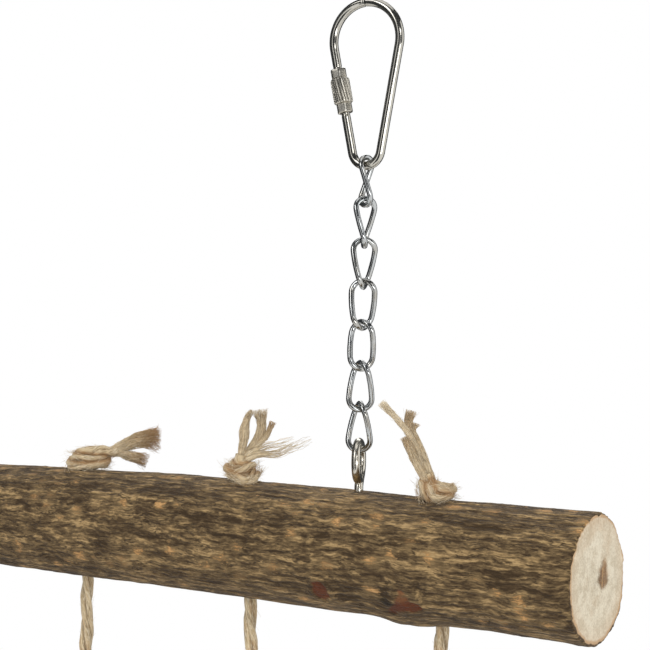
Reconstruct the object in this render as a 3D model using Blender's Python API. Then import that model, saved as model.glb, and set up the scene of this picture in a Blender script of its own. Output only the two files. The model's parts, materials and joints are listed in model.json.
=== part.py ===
"""Hanging climbing wall for cage birds.

A bark-covered top log carries three thinner bark rungs on five knotted ropes, and hangs from
two twisted-link chains with screw-gate quick links.

The origin is the inner top of the right quick link, where the cage roof carries it. X runs
along the log, Y from front to back and Z up. Sizes are in metres and angles in radians.
"""

import math

import bmesh
import bpy
import numpy as np
from mathutils import Matrix, Vector

# Gap left between pieces that touch
SEAT_GAP = 0.0003

# Top log
TOP_LOG_LENGTH = 0.417
TOP_LOG_RADIUS = 0.020
# Height of the log's back over a true cylinder, from the left end to the right, in radii
TOP_LOG_SWELLS = (-0.045, -0.03, -0.06, -0.075, -0.005, 0.04, 0.015, -0.01, -0.01)
TOP_LOG_SIDES = 24
TOP_LOG_RINGS = 25
# Healed branch scars: place from the right end as a share of the length, angle above the
# front, height and spread in radii
TOP_LOG_SCARS = (
    (0.165, math.radians(-38), 0.065, 0.325),
    (0.261, math.radians(-20), 0.030, 0.250),
    (0.516, math.radians(165), 0.060, 0.325),
    (0.724, math.radians(35), 0.050, 0.300),
)

# Rungs, and the drop from the top log's axis to the lowest rung's axis
RUNG_COUNT = 3
LADDER_DROP = 0.255
RUNG_LENGTH = 0.400
RUNG_RADIUS = 0.012
RUNG_SWELLS = (
    (0.033, -0.042, 0.050, 0.017, -0.033, 0.025),
    (-0.025, 0.042, 0.008, -0.050, 0.017, 0.050),
    (0.050, 0.000, -0.033, 0.042, 0.025, -0.042),
)
RUNG_SCARS = (
    ((0.362, math.radians(15), 0.067, 0.375), (0.765, math.radians(150), 0.067, 0.375)),
    ((0.230, math.radians(-30), 0.067, 0.375), (0.600, math.radians(40), 0.067, 0.375)),
    ((0.440, math.radians(25), 0.067, 0.375), (0.825, math.radians(-25), 0.067, 0.375)),
)
RUNG_SIDES = 16
RUNG_RINGS = 12

# Unevenness of a stick's section as a share of its radius, and its turn from end to end
STICK_WOBBLE = 0.03
STICK_WOBBLE_TURN = math.radians(516)
# A drill's reach to each side of a stick's axis, in radii
DRILL_REACH = 1.5
DRILL_SIDES = 12

# Ropes
ROPE_COUNT = 5
ROPE_PITCH = 0.0775
ROPE_RADIUS = 0.00225
ROPE_HOLE_CLEARANCE = 0.0004
ROPE_STEM_PROUD = 0.0006
ROPE_BOW = 0.0010
BOW_SHARES = (0.3, 0.5, 0.7)
ROPE_SIDES = 8
# Angles round a span's rounded head, which turns on the hinge line
HEAD_ANGLES = tuple(math.radians(angle) for angle in (68, 38, 0))

# Knots, with the outline as shares of the height and of the radius, from the seat to the neck
TOP_KNOT_RADIUS = 0.0064
TOP_KNOT_HEIGHT = 0.0088
STOP_KNOT_RADIUS = 0.0058
STOP_KNOT_HEIGHT = 0.0100
KNOT_OUTLINE = ((0.03, 0.72), (0.25, 1.0), (0.55, 1.0), (0.82, 0.74), (1.0, 0.45))
KNOT_LOBES = 3
KNOT_LOBE_DEPTH = 0.0005
KNOT_LOBE_TURN = math.radians(80)

# Frayed end below the last stop knot: shares of its length and of its flare
ROPE_END_TAIL = 0.016
ROPE_END_FLARE = 0.0034
ROPE_END_OUTLINE = ((0.15, 0.66), (0.75, 1.0), (1.0, 0.8))

# The frayed top tails lie on an upright plane turned this far from X
TAIL_PLANE_TURN = math.radians(34.2)
# Tail points past each top knot, from the right rope to the left, in rope radii: sideways,
# up, thickness
ROPE_TAILS = (
    ((-1.5, 0.5, 1.0), (-2.4, 2.4, 1.1), (-3.1, 4.5, 1.1), (-3.8, 6.7, 0.9), (-5.3, 8.6, 0.4)),
    ((0.4, 0.6, 1.0), (1.3, 1.9, 1.2), (2.2, 3.4, 1.6), (2.7, 5.0, 1.9), (3.0, 6.9, 1.3)),
    ((1.0, 0.6, 0.9), (2.7, 1.0, 0.8), (4.9, 1.2, 0.8), (7.3, 1.4, 1.2), (10.2, 1.9, 1.4)),
    ((-0.4, 0.6, 1.0), (-1.3, 2.0, 1.1), (-2.8, 3.6, 1.4), (-4.3, 5.0, 1.8), (-6.0, 6.1, 1.4)),
    ((0.9, 0.6, 0.9), (2.2, 1.7, 0.9), (3.7, 3.0, 1.2), (5.2, 4.4, 1.5), (6.8, 6.0, 1.2)),
)

# Screw eyes
EYE_FROM_OUTER_ROPE = 0.0322
EYE_WIRE_RADIUS = 0.0015
EYE_RING_RADIUS = 0.00625
EYE_NECK = 0.0025
EYE_THREAD_LENGTH = 0.0150
EYE_END_GAP = 0.0006
# Where the ring leaves the neck, from its lowest point
EYE_RING_START = math.radians(30)
EYE_RING_STEPS = 22
EYE_TURN = math.radians(110)

# Twisted chain links
LINK_COUNT = 7
LINK_WIRE_RADIUS = 0.00094
LINK_INNER_LENGTH = 0.0139
LINK_INNER_WIDTH = 0.0058
LINK_TWIST = math.radians(78)
LINK_BOW_STEPS = 6
LINK_LEG_STEPS = 4
# Turn of each link's upper bow against the quick link, from the top link down
LINK_TURNS = tuple(math.radians(angle) for angle in (78, 50, 32, 6, -16, -38, -50))
CHAIN_LEAN = math.radians(1.8)

# Quick links: a pear of wire, open at a gate that a sleeve nut bridges
QUICK_WIRE_RADIUS = 0.0015
QUICK_TOP_RADIUS = 0.0124
QUICK_FOOT_RADIUS = 0.0054
QUICK_BOW_SPACING = 0.0361
QUICK_TOP_STEPS = 16
QUICK_FOOT_STEPS = 10
GATE_DROP = 0.0272
GATE_GAP = 0.0075
SLEEVE_LENGTH = 0.0150
SLEEVE_RADIUS = 0.0032
SLEEVE_COLLAR_RADIUS = 0.0027
SLEEVE_COLLAR_LENGTH = 0.0032
SLEEVE_CHAMFER = 0.0003
SLEEVE_STEPS = 20

# Each hanger: its side of the log and the turn of its quick link about Z
HANGERS = {"right": (1, math.radians(4)), "left": (-1, math.radians(184))}

# Derived heights and places
QUICK_INNER_HEIGHT = (
    QUICK_TOP_RADIUS + QUICK_BOW_SPACING + QUICK_FOOT_RADIUS - 2 * QUICK_WIRE_RADIUS
)
FIRST_PIVOT_Z = -QUICK_INNER_HEIGHT - QUICK_WIRE_RADIUS
LINK_PITCH = LINK_INNER_LENGTH - SEAT_GAP
CHAIN_LENGTH = LINK_PITCH * LINK_COUNT + LINK_WIRE_RADIUS - QUICK_WIRE_RADIUS
RUNG_PITCH = LADDER_DROP / RUNG_COUNT
ROPE_SPAN = ROPE_PITCH * (ROPE_COUNT - 1)
ROPE_HOLE_RADIUS = ROPE_RADIUS + ROPE_HOLE_CLEARANCE
EYE_SPAN = ROPE_SPAN - 2 * EYE_FROM_OUTER_ROPE
HANGER_SPAN = EYE_SPAN + 2 * CHAIN_LENGTH * math.sin(CHAIN_LEAN)


def clear_scene():
    """Remove every object of the start-up scene."""
    for item in list(bpy.data.objects):
        bpy.data.objects.remove(item, do_unlink=True)


def material(name, colour, roughness, metallic=0.0):
    """A Principled material of one colour."""
    made = bpy.data.materials.new(name)
    made.use_nodes = True
    shader = made.node_tree.nodes["Principled BSDF"]
    shader.inputs["Base Color"].default_value = (*colour, 1.0)
    shader.inputs["Roughness"].default_value = roughness
    shader.inputs["Metallic"].default_value = metallic
    return made


def add_object(name, data, finish):
    """Link a mesh or curve into the scene as one named sub-part."""
    if not data.materials:
        data.materials.append(finish)
    item = bpy.data.objects.new(name, data)
    bpy.context.scene.collection.objects.link(item)
    return item


def add_pivot(name, place, parent=None):
    """An empty on a joint's axis, carried by the pivot above it. Its place is printed."""
    empty = bpy.data.objects.new(name, None)
    bpy.context.scene.collection.objects.link(empty)
    empty["place"] = tuple(place)
    carry(empty, parent, place)
    print(name, [round(value, 6) for value in place])
    return empty


def carry(item, pivot, place, turn=None):
    """Parent an item to a pivot and set it at a world place with a turn of its own."""
    place = Vector(place)
    if pivot is not None:
        item.parent = pivot
        place = place - Vector(pivot["place"])
    item.matrix_local = Matrix.Translation(place) @ (turn or Matrix.Identity(4))


def mesh_from(shape, name, sharp_angle):
    """Turn a bmesh into a smooth mesh whose sharper edges stay sharp."""
    bmesh.ops.recalc_face_normals(shape, faces=shape.faces)
    mesh = bpy.data.meshes.new(name)
    shape.to_mesh(mesh)
    shape.free()
    mesh.shade_smooth()
    mesh.set_sharp_from_angle(angle=sharp_angle)
    return mesh


def loft_mesh(name, rings):
    """Skin a stack of equal rings of points and close both ends."""
    shape = bmesh.new()
    loops = [[shape.verts.new(point) for point in ring] for ring in rings]
    count = len(loops[0])
    for lower, upper in zip(loops, loops[1:]):
        for index in range(count):
            following = (index + 1) % count
            shape.faces.new((lower[index], lower[following], upper[following], upper[index]))
    shape.faces.new(list(reversed(loops[0])))
    shape.faces.new(loops[-1])
    return mesh_from(shape, name, math.radians(50))


def tube_rings(centres, radii, lobes):
    """Rings square to a path, with a lobed outline where the rope is knotted."""
    centres = np.array(centres, dtype=float)
    tangents = np.gradient(centres, axis=0)
    tangents /= np.linalg.norm(tangents, axis=1, keepdims=True)
    angles = np.arange(ROPE_SIDES) * 2 * math.pi / ROPE_SIDES
    side = np.array((1.0, 0.0, 0.0))
    rings = []
    for step, (centre, tangent, radius, lobe) in enumerate(zip(centres, tangents, radii, lobes)):
        side = side - tangent * np.dot(side, tangent)
        side /= np.linalg.norm(side)
        across = np.cross(tangent, side)
        reach = radius + lobe * np.cos(KNOT_LOBES * angles + KNOT_LOBE_TURN * step)
        rings.append(centre + np.outer(reach * np.cos(angles), side)
                     + np.outer(reach * np.sin(angles), across))
    return rings


def wire_curve(name, points, radius, bevel_steps, closed=False):
    """A round wire along a path of points."""
    curve = bpy.data.curves.new(name, "CURVE")
    curve.dimensions = "3D"
    curve.bevel_depth = radius
    curve.bevel_resolution = bevel_steps
    curve.use_fill_caps = True
    spline = curve.splines.new("POLY")
    spline.points.add(len(points) - len(spline.points))
    for target, point in zip(spline.points, points):
        target.co = (*point, 1.0)
    spline.use_cyclic_u = closed
    return curve


def arc(centre, radius, start, end, steps):
    """Points of a circle in the XZ plane, from one angle to another."""
    angles = np.linspace(start, end, steps + 1)
    return [Vector((centre[0] + radius * math.cos(angle), 0.0, centre[1] + radius * math.sin(angle)))
            for angle in angles]


def swell_at(swells, share):
    """Smooth value of a stick's swell at a share of its length."""
    place = min(max(share, 0.0), 1.0) * (len(swells) - 1)
    index = min(int(place), len(swells) - 2)
    ease = place - index
    ease = ease * ease * (3 - 2 * ease)
    return swells[index] * (1 - ease) + swells[index + 1] * ease


def stick_rings(length, radius, swells, scars, sides, rings):
    """Sections of a natural stick along X, with a straight underside and healed branch scars."""
    angles = np.arange(sides) * 2 * math.pi / sides
    sections = []
    for share in np.linspace(0.0, 1.0, rings):
        along = (share - 0.5) * length
        rise = radius * swell_at(swells, share) / 2
        wobble = STICK_WOBBLE * np.cos(angles) * np.sin(2 * angles + STICK_WOBBLE_TURN * share)
        reach = (radius + rise) * (1 + wobble)
        for from_right, angle, height, spread in scars:
            aside = np.mod(angles - angle + math.pi, 2 * math.pi) - math.pi
            apart = (1 - from_right - share) * length / radius
            reach = reach + radius * height * np.exp(-(apart ** 2 + aside ** 2) / spread ** 2)
        sections.append(np.stack((
            np.full(sides, along),
            -reach * np.cos(angles),
            reach * np.sin(angles) + rise,
        ), axis=1))
    return sections


def cut_holes(stick, name, holes):
    """Drill upright holes, each given as its place along X, radius, foot and head."""
    shape = bmesh.new()
    for along, radius, foot, head in holes:
        bmesh.ops.create_cone(
            shape, cap_ends=True, segments=DRILL_SIDES, radius1=radius, radius2=radius,
            depth=head - foot, matrix=Matrix.Translation((along, 0.0, (foot + head) / 2)),
        )
    mesh = bpy.data.meshes.new(name)
    shape.to_mesh(mesh)
    shape.free()
    cutter = bpy.data.objects.new(name, mesh)
    bpy.context.scene.collection.objects.link(cutter)
    cutter.parent = stick
    cutter.hide_render = True
    cutter.display_type = "WIRE"
    drill = stick.modifiers.new("drilled_holes", "BOOLEAN")
    drill.operation = "DIFFERENCE"
    drill.solver = "EXACT"
    drill.object = cutter


def rope_places():
    """Distance of each rope from the log's middle, from the right rope to the left."""
    return [ROPE_SPAN / 2 - index * ROPE_PITCH for index in range(ROPE_COUNT)]


def build_quick_link(side, place, turn, steel):
    """The pear of wire, open at the gate on its left arm, and the sleeve nut over the gate."""
    top_centre = (0.0, QUICK_WIRE_RADIUS - QUICK_TOP_RADIUS)
    foot_centre = (0.0, top_centre[1] - QUICK_BOW_SPACING)
    lean = math.asin((QUICK_TOP_RADIUS - QUICK_FOOT_RADIUS) / QUICK_BOW_SPACING)
    top_bow = arc(top_centre, QUICK_TOP_RADIUS, math.pi + lean, -lean, QUICK_TOP_STEPS)
    foot_bow = arc(foot_centre, QUICK_FOOT_RADIUS, -lean, lean - math.pi, QUICK_FOOT_STEPS)
    arm_head = top_bow[0]
    arm_foot = foot_bow[-1]
    along = (arm_foot - arm_head).normalized()
    gate = arm_head + along * ((-GATE_DROP - arm_head.z) / along.z)
    points = [gate - along * GATE_GAP / 2, *top_bow, *foot_bow, gate + along * GATE_GAP / 2]
    turned = Matrix.Rotation(turn, 4, "Z")
    pear = wire_curve(f"pear_{side}", points, QUICK_WIRE_RADIUS, 3)
    carry(add_object(f"quick_link_{side}", pear, steel), None, place, turned)

    pivot = add_pivot(f"sleeve_{side}_pivot", Vector(place) + turned @ gate)
    upright = Vector((0.0, 0.0, -1.0)).rotation_difference(along).to_matrix().to_4x4()
    sleeve = add_object(f"sleeve_nut_{side}", sleeve_mesh(f"sleeve_{side}"), steel)
    carry(sleeve, pivot, pivot["place"], turned @ upright)


def sleeve_mesh(name):
    """Turned sleeve: a wide grip between two narrower collars, bored for the wire."""
    bore = QUICK_WIRE_RADIUS + SEAT_GAP
    half = SLEEVE_LENGTH / 2
    shoulder = half - SLEEVE_COLLAR_LENGTH
    outline = [
        (bore, half),
        (SLEEVE_COLLAR_RADIUS - SLEEVE_CHAMFER, half),
        (SLEEVE_COLLAR_RADIUS, half - SLEEVE_CHAMFER),
        (SLEEVE_COLLAR_RADIUS, shoulder),
        (SLEEVE_RADIUS, shoulder - SLEEVE_CHAMFER),
    ]
    outline += [(radius, -height) for radius, height in reversed(outline)]
    shape = bmesh.new()
    profile = [shape.verts.new((radius, 0.0, height)) for radius, height in outline]
    edges = [shape.edges.new(pair) for pair in zip(profile, profile[1:] + profile[:1])]
    bmesh.ops.spin(shape, geom=profile + edges, cent=(0, 0, 0), axis=(0, 0, 1),
                   angle=2 * math.pi, steps=SLEEVE_STEPS, use_merge=True)
    return mesh_from(shape, name, math.radians(30))


def twisted_link_points():
    """Middle line of a link: a stadium in the XZ plane, twisted about Z from bow to bow.

    The inner side of the upper bow is at the origin, and the link hangs down from it.
    """
    bow = LINK_INNER_WIDTH / 2 + LINK_WIRE_RADIUS
    head = LINK_WIRE_RADIUS - bow
    foot = bow - LINK_INNER_LENGTH - LINK_WIRE_RADIUS
    leg = [(foot - head) * step / LINK_LEG_STEPS for step in range(1, LINK_LEG_STEPS)]
    flat = arc((0.0, head), bow, math.pi, 0.0, LINK_BOW_STEPS)
    flat += [Vector((bow, 0.0, head + drop)) for drop in leg]
    flat += arc((0.0, foot), bow, 0.0, -math.pi, LINK_BOW_STEPS)
    flat += [Vector((-bow, 0.0, foot - drop)) for drop in leg]
    height = LINK_INNER_LENGTH + 2 * LINK_WIRE_RADIUS
    return [Matrix.Rotation(LINK_TWIST * (LINK_WIRE_RADIUS - point.z) / height, 3, "Z") @ point
            for point in flat]


def build_chain(side, top_place, turn, lean, link_curve, steel):
    """Hang the links one in another, and return the last pivot with the eye's place below it."""
    hang = Vector((-math.sin(lean), 0.0, -math.cos(lean)))
    tilt = Matrix.Rotation(lean, 4, "Y")
    place = Vector(top_place)
    seat_radius = QUICK_WIRE_RADIUS
    pivot = None
    for number, link_turn in enumerate(LINK_TURNS[:LINK_COUNT], start=1):
        pivot = add_pivot(f"chain_{side}_pivot_{number}", place, pivot)
        head = place - hang * (seat_radius + SEAT_GAP)
        link = add_object(f"chain_{side}_link_{number}", link_curve, steel)
        carry(link, pivot, head, tilt @ Matrix.Rotation(turn + link_turn, 4, "Z"))
        place = head + hang * (LINK_INNER_LENGTH + LINK_WIRE_RADIUS)
        seat_radius = LINK_WIRE_RADIUS
    return pivot, place


def screw_eye_curve(name):
    """One wire: a threaded shank, a bend at the neck and a ring that closes back on the neck.

    The origin is the foot of the neck, on the surface of the log.
    """
    centre_z = EYE_NECK + EYE_WIRE_RADIUS + EYE_RING_RADIUS
    start = EYE_RING_START - math.pi / 2
    open_angle = (2 * EYE_WIRE_RADIUS + EYE_END_GAP) / EYE_RING_RADIUS
    end = start + 2 * math.pi - open_angle
    ring = arc((0.0, centre_z), EYE_RING_RADIUS, start, end, EYE_RING_STEPS)
    shank = [Vector((0.0, 0.0, height)) for height in (-EYE_THREAD_LENGTH, 0.0, EYE_NECK / 2)]
    bend = Vector((ring[0].x / 4, 0.0, EYE_NECK + EYE_END_GAP / 2))
    return wire_curve(name, [*shank, bend, *ring], EYE_WIRE_RADIUS, 2)


def knot_sections(seat, height, radius):
    """Ring centres, radii and lobes of a knot that rises, or hangs if its height is negative."""
    return [((0.0, 0.0, seat + share * height), reach * radius, KNOT_LOBE_DEPTH)
            for share, reach in KNOT_OUTLINE]


def add_rope(name, sections, hemp):
    """Loft one piece of rope through its sections."""
    centres, radii, lobes = zip(*sections)
    return add_object(name, loft_mesh(name, tube_rings(centres, radii, lobes)), hemp)


def build_top_knot(index, along, log_middle, pivot, hemp):
    """A rope's upper end: the stem through the log, the knot on its back and the frayed tail."""
    seat = log_top_at(along) + SEAT_GAP
    sections = [((0.0, 0.0, height), ROPE_RADIUS, 0.0)
                for height in (-TOP_LOG_RADIUS - ROPE_STEM_PROUD, 0.0, seat)]
    sections += knot_sections(seat, TOP_KNOT_HEIGHT, TOP_KNOT_RADIUS)
    aside = Vector((math.cos(TAIL_PLANE_TURN), math.sin(TAIL_PLANE_TURN), 0.0))
    knot_top = Vector((0.0, 0.0, seat + TOP_KNOT_HEIGHT))
    for sideways, up, thickness in ROPE_TAILS[index % len(ROPE_TAILS)]:
        point = knot_top + ROPE_RADIUS * (aside * sideways + Vector((0.0, 0.0, up)))
        sections.append((tuple(point), thickness * ROPE_RADIUS, 0.0))
    knot = add_rope(f"rope_{index + 1}_top_knot", sections, hemp)
    carry(knot, pivot, log_middle + Vector((along, 0.0, 0.0)))


def build_stretch(index, number, pivot, head, seat_z, hemp):
    """One span of rope: a round head on the hinge line, the span, the rung's hole and a stop knot.

    The last span ends in a frayed tail.
    """
    seat = seat_z - head.z
    sections = [((0.0, 0.0, ROPE_RADIUS * math.sin(angle)), ROPE_RADIUS * math.cos(angle), 0.0)
                for angle in HEAD_ANGLES]
    span_end = seat + SEAT_GAP + 2 * RUNG_RADIUS
    bow_side = (-1) ** (index + number)
    for share in BOW_SHARES:
        bow = bow_side * ROPE_BOW * math.sin(math.pi * share)
        sections.append(((bow, 0.0, span_end * share), ROPE_RADIUS, 0.0))
    sections += [((0.0, 0.0, height), ROPE_RADIUS, 0.0) for height in (span_end, seat)]
    sections += knot_sections(seat, -STOP_KNOT_HEIGHT, STOP_KNOT_RADIUS)
    if number == RUNG_COUNT:
        foot = seat - STOP_KNOT_HEIGHT
        sections += [((0.0, 0.0, foot - share * ROPE_END_TAIL), reach * ROPE_END_FLARE, 0.0)
                     for share, reach in ROPE_END_OUTLINE]
    carry(add_rope(f"rope_{index + 1}_stretch_{number}", sections, hemp), pivot, head)


def log_top_at(along):
    """Height of the top log's back over its axis at a distance from its middle."""
    share = along / TOP_LOG_LENGTH + 0.5
    return TOP_LOG_RADIUS * (1 + swell_at(TOP_LOG_SWELLS, share))


def build_top_log(pivot, log_middle, bark):
    """The thick log, drilled through for the ropes and piloted for the screw eyes."""
    rings = stick_rings(TOP_LOG_LENGTH, TOP_LOG_RADIUS, TOP_LOG_SWELLS, TOP_LOG_SCARS,
                        TOP_LOG_SIDES, TOP_LOG_RINGS)
    log = add_object("top_log", loft_mesh("top_log", rings), bark)
    carry(log, pivot, log_middle)
    reach = DRILL_REACH * TOP_LOG_RADIUS
    holes = [(along, ROPE_HOLE_RADIUS, -reach, reach) for along in rope_places()]
    for along in (-EYE_SPAN / 2, EYE_SPAN / 2):
        foot = log_top_at(along) - EYE_THREAD_LENGTH - SEAT_GAP
        holes.append((along, EYE_WIRE_RADIUS + SEAT_GAP, foot, reach))
    cut_holes(log, "top_log_holes", holes)


def build_rung(number, pivot, middle, bark):
    """One thin rung, drilled through for the ropes."""
    design = (number - 1) % len(RUNG_SWELLS)
    rings = stick_rings(RUNG_LENGTH, RUNG_RADIUS, RUNG_SWELLS[design], RUNG_SCARS[design],
                        RUNG_SIDES, RUNG_RINGS)
    rung = add_object(f"rung_{number}", loft_mesh(f"rung_{number}", rings), bark)
    carry(rung, pivot, middle)
    reach = DRILL_REACH * RUNG_RADIUS
    cut_holes(rung, f"rung_{number}_holes",
              [(along, ROPE_HOLE_RADIUS, -reach, reach) for along in rope_places()])


def build_top_bar(pivot, eye_place, bark, steel, hemp):
    """The top log with its screw eyes and rope knots. Returns the place of the log's middle."""
    eye_top = eye_place.z + LINK_WIRE_RADIUS + SEAT_GAP
    neck_foot = eye_top - 2 * EYE_RING_RADIUS - EYE_NECK
    log_middle = Vector((
        eye_place.x - EYE_SPAN / 2, 0.0, neck_foot - log_top_at(EYE_SPAN / 2),
    ))
    build_top_log(pivot, log_middle, bark)
    for side, (end, turn) in HANGERS.items():
        eye = add_object(f"screw_eye_{side}", screw_eye_curve(f"eye_{side}"), steel)
        foot = Vector((log_middle.x + end * EYE_SPAN / 2, 0.0, neck_foot))
        carry(eye, pivot, foot, Matrix.Rotation(turn + EYE_TURN, 4, "Z"))
    for index, along in enumerate(rope_places()):
        build_top_knot(index, along, log_middle, pivot, hemp)
    return log_middle


def build_ladder(pivot, log_middle, bark, hemp):
    """The rungs, each hung by its rope spans from the hinge line under the stick above."""
    line_z = log_middle.z - TOP_LOG_RADIUS - ROPE_STEM_PROUD - SEAT_GAP - ROPE_RADIUS
    for number in range(1, RUNG_COUNT + 1):
        pivot = add_pivot(f"rung_{number}_pivot", (log_middle.x, 0.0, line_z), pivot)
        middle = log_middle - Vector((0.0, 0.0, number * RUNG_PITCH))
        build_rung(number, pivot, middle, bark)
        seat_z = middle.z - RUNG_RADIUS - SEAT_GAP
        for index, along in enumerate(rope_places()):
            head = Vector((log_middle.x + along, 0.0, line_z))
            build_stretch(index, number, pivot, head, seat_z, hemp)
        line_z = seat_z - STOP_KNOT_HEIGHT - SEAT_GAP - ROPE_RADIUS


def main():
    """Build the hangers from the hooks down, then the top bar and the rungs below it."""
    clear_scene()
    bark = material("bark", (0.20, 0.14, 0.085), 0.85)
    hemp = material("hemp_rope", (0.58, 0.46, 0.31), 0.9)
    steel = material("nickel_steel", (0.62, 0.61, 0.58), 0.22, 1.0)

    link_curve = wire_curve("twisted_link", twisted_link_points(), LINK_WIRE_RADIUS, 1, closed=True)
    chain_feet = {}
    for side, (end, turn) in HANGERS.items():
        place = Vector(((end - 1) * HANGER_SPAN / 2, 0.0, 0.0))
        build_quick_link(side, place, turn, steel)
        top_place = place + Vector((0.0, 0.0, FIRST_PIVOT_Z))
        chain_feet[side] = build_chain(side, top_place, turn, end * CHAIN_LEAN, link_curve, steel)

    chain_pivot, eye_place = chain_feet["right"]
    bar_pivot = add_pivot("top_bar_pivot", eye_place, chain_pivot)
    log_middle = build_top_bar(bar_pivot, eye_place, bark, steel, hemp)
    build_ladder(bar_pivot, log_middle, bark, hemp)


main()
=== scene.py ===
"""Looks of a hanging climbing wall for cage birds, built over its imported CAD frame.

Bark sticks, laid ropes, knots, frayed tails, twisted chain and quick links are surfaces worked
out with numpy, in metres, in the frame's own axes: X along the log, Y to the back and Z up.
"""

import json
import math

import bpy
import numpy as np
from bpy.props import FloatProperty, FloatVectorProperty, IntProperty, PointerProperty
from bpy.types import Operator, Panel, PropertyGroup
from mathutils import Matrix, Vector


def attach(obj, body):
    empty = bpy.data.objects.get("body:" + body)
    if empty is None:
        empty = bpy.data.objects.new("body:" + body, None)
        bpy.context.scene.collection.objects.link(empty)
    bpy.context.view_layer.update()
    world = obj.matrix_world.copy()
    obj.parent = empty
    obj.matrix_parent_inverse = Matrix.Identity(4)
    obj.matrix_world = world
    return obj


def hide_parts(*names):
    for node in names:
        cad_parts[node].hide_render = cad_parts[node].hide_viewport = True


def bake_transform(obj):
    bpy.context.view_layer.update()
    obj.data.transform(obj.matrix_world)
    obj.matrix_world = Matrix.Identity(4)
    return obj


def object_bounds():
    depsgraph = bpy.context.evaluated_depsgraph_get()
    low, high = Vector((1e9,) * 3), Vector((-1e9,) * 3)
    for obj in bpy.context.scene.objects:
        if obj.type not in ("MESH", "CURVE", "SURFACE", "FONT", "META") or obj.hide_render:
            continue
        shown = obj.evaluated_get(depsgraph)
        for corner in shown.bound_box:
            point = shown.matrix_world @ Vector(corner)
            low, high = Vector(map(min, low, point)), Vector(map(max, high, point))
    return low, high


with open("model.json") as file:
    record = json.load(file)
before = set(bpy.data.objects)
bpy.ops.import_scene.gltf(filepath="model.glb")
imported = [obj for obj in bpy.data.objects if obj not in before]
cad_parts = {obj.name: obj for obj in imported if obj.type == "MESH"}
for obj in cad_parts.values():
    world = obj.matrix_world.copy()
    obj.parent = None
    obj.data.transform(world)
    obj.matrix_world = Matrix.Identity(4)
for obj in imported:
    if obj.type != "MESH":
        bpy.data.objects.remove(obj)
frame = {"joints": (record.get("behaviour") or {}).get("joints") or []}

bl_info = {
    "name": "Bird climbing wall",
    "version": (1, 0, 0),
    "blender": (4, 5, 0),
    "location": "View3D > Sidebar > Climbing wall",
    "description": "Bark sticks on knotted ropes under two chain hangers",
    "category": "Object",
}

CAD_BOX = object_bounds()
PIVOTS = {joint["name"]: joint.get("pos_m") for joint in frame["joints"]}
TURN = 2 * math.pi

# Sizes and places repeated from the part's source
SEAT_GAP = 0.0003
LOG_LENGTH = 0.417
LOG_RADIUS = 0.020
LOG_SWELLS = (-0.045, -0.03, -0.06, -0.075, -0.005, 0.04, 0.015, -0.01, -0.01)
RUNG_COUNT = 3
RUNG_PITCH = 0.085
RUNG_LENGTH = 0.400
RUNG_RADIUS = 0.012
RUNG_SWELLS = (
    (0.033, -0.042, 0.050, 0.017, -0.033, 0.025),
    (-0.025, 0.042, 0.008, -0.050, 0.017, 0.050),
    (0.050, 0.000, -0.033, 0.042, 0.025, -0.042),
)
# Healed scars: share of the length from the right end, degrees above the middle of the front,
# height and spread in radii
RUNG_SCARS = (
    ((0.362, 15, 0.067, 0.375), (0.765, 150, 0.067, 0.375)),
    ((0.230, -30, 0.067, 0.375), (0.600, 40, 0.067, 0.375)),
    ((0.440, 25, 0.067, 0.375), (0.825, -25, 0.067, 0.375)),
)
STICK_WOBBLE = 0.03
STICK_WOBBLE_TURN = math.radians(516)
ROPE_COUNT = 5
ROPE_PITCH = 0.0775
ROPE_RADIUS = 0.00225
ROPE_HOLE_RADIUS = 0.00265
ROPE_STEM_PROUD = 0.0006
STOP_KNOT_HEIGHT = 0.0100
EYE_FROM_OUTER_ROPE = 0.0322
EYE_WIRE_RADIUS = 0.0015
EYE_RING_RADIUS = 0.00625
EYE_NECK = 0.0025
EYE_END_GAP = 0.0006
EYE_RING_START = math.radians(30)
EYE_TURN = math.radians(110)
LINK_WIRE_RADIUS = 0.00094
LINK_INNER_LENGTH = 0.0139
LINK_INNER_WIDTH = 0.0058
LINK_TWIST = math.radians(78)
LINK_TURNS = tuple(math.radians(angle) for angle in (78, 50, 32, 6, -16, -38, -50))
CHAIN_LEAN = math.radians(1.8)
QUICK_WIRE_RADIUS = 0.0015
QUICK_TOP_RADIUS = 0.0124
QUICK_FOOT_RADIUS = 0.0054
QUICK_BOW_SPACING = 0.0361
GATE_DROP = 0.0272
GATE_GAP = 0.0075
SLEEVE_LENGTH = 0.0150
SLEEVE_RADIUS = 0.0032
SLEEVE_COLLAR_RADIUS = 0.0027
SLEEVE_COLLAR_LENGTH = 0.0032
# Hangers: the end of the log that each is on, and its turn about the upright
HANGERS = {"right": (1, math.radians(4)), "left": (-1, math.radians(184))}

# Places that follow from the frame
CAD_LOWEST = np.array(CAD_BOX[0])
CAD_MIDDLE = (CAD_LOWEST + np.array(CAD_BOX[1])) / 2
LOG_MIDDLE_X = PIVOTS["rung_1_swing"][0]
LOG_AXIS_Z = PIVOTS["rung_1_swing"][2] + LOG_RADIUS + ROPE_RADIUS + ROPE_STEM_PROUD + SEAT_GAP
LOG_MIDDLE = np.array((LOG_MIDDLE_X, 0.0, LOG_AXIS_Z))
ROPE_SPAN = ROPE_PITCH * (ROPE_COUNT - 1)
EYE_SPAN = ROPE_SPAN - 2 * EYE_FROM_OUTER_ROPE
ROPE_OFFSETS = ROPE_SPAN / 2 - ROPE_PITCH * np.arange(ROPE_COUNT)
ROPE_X = LOG_MIDDLE_X + ROPE_OFFSETS
HANGER_SPAN = EYE_SPAN + 2 * (PIVOTS["chain_1_swing"][0] - PIVOTS["top_bar_swing"][0])

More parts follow.
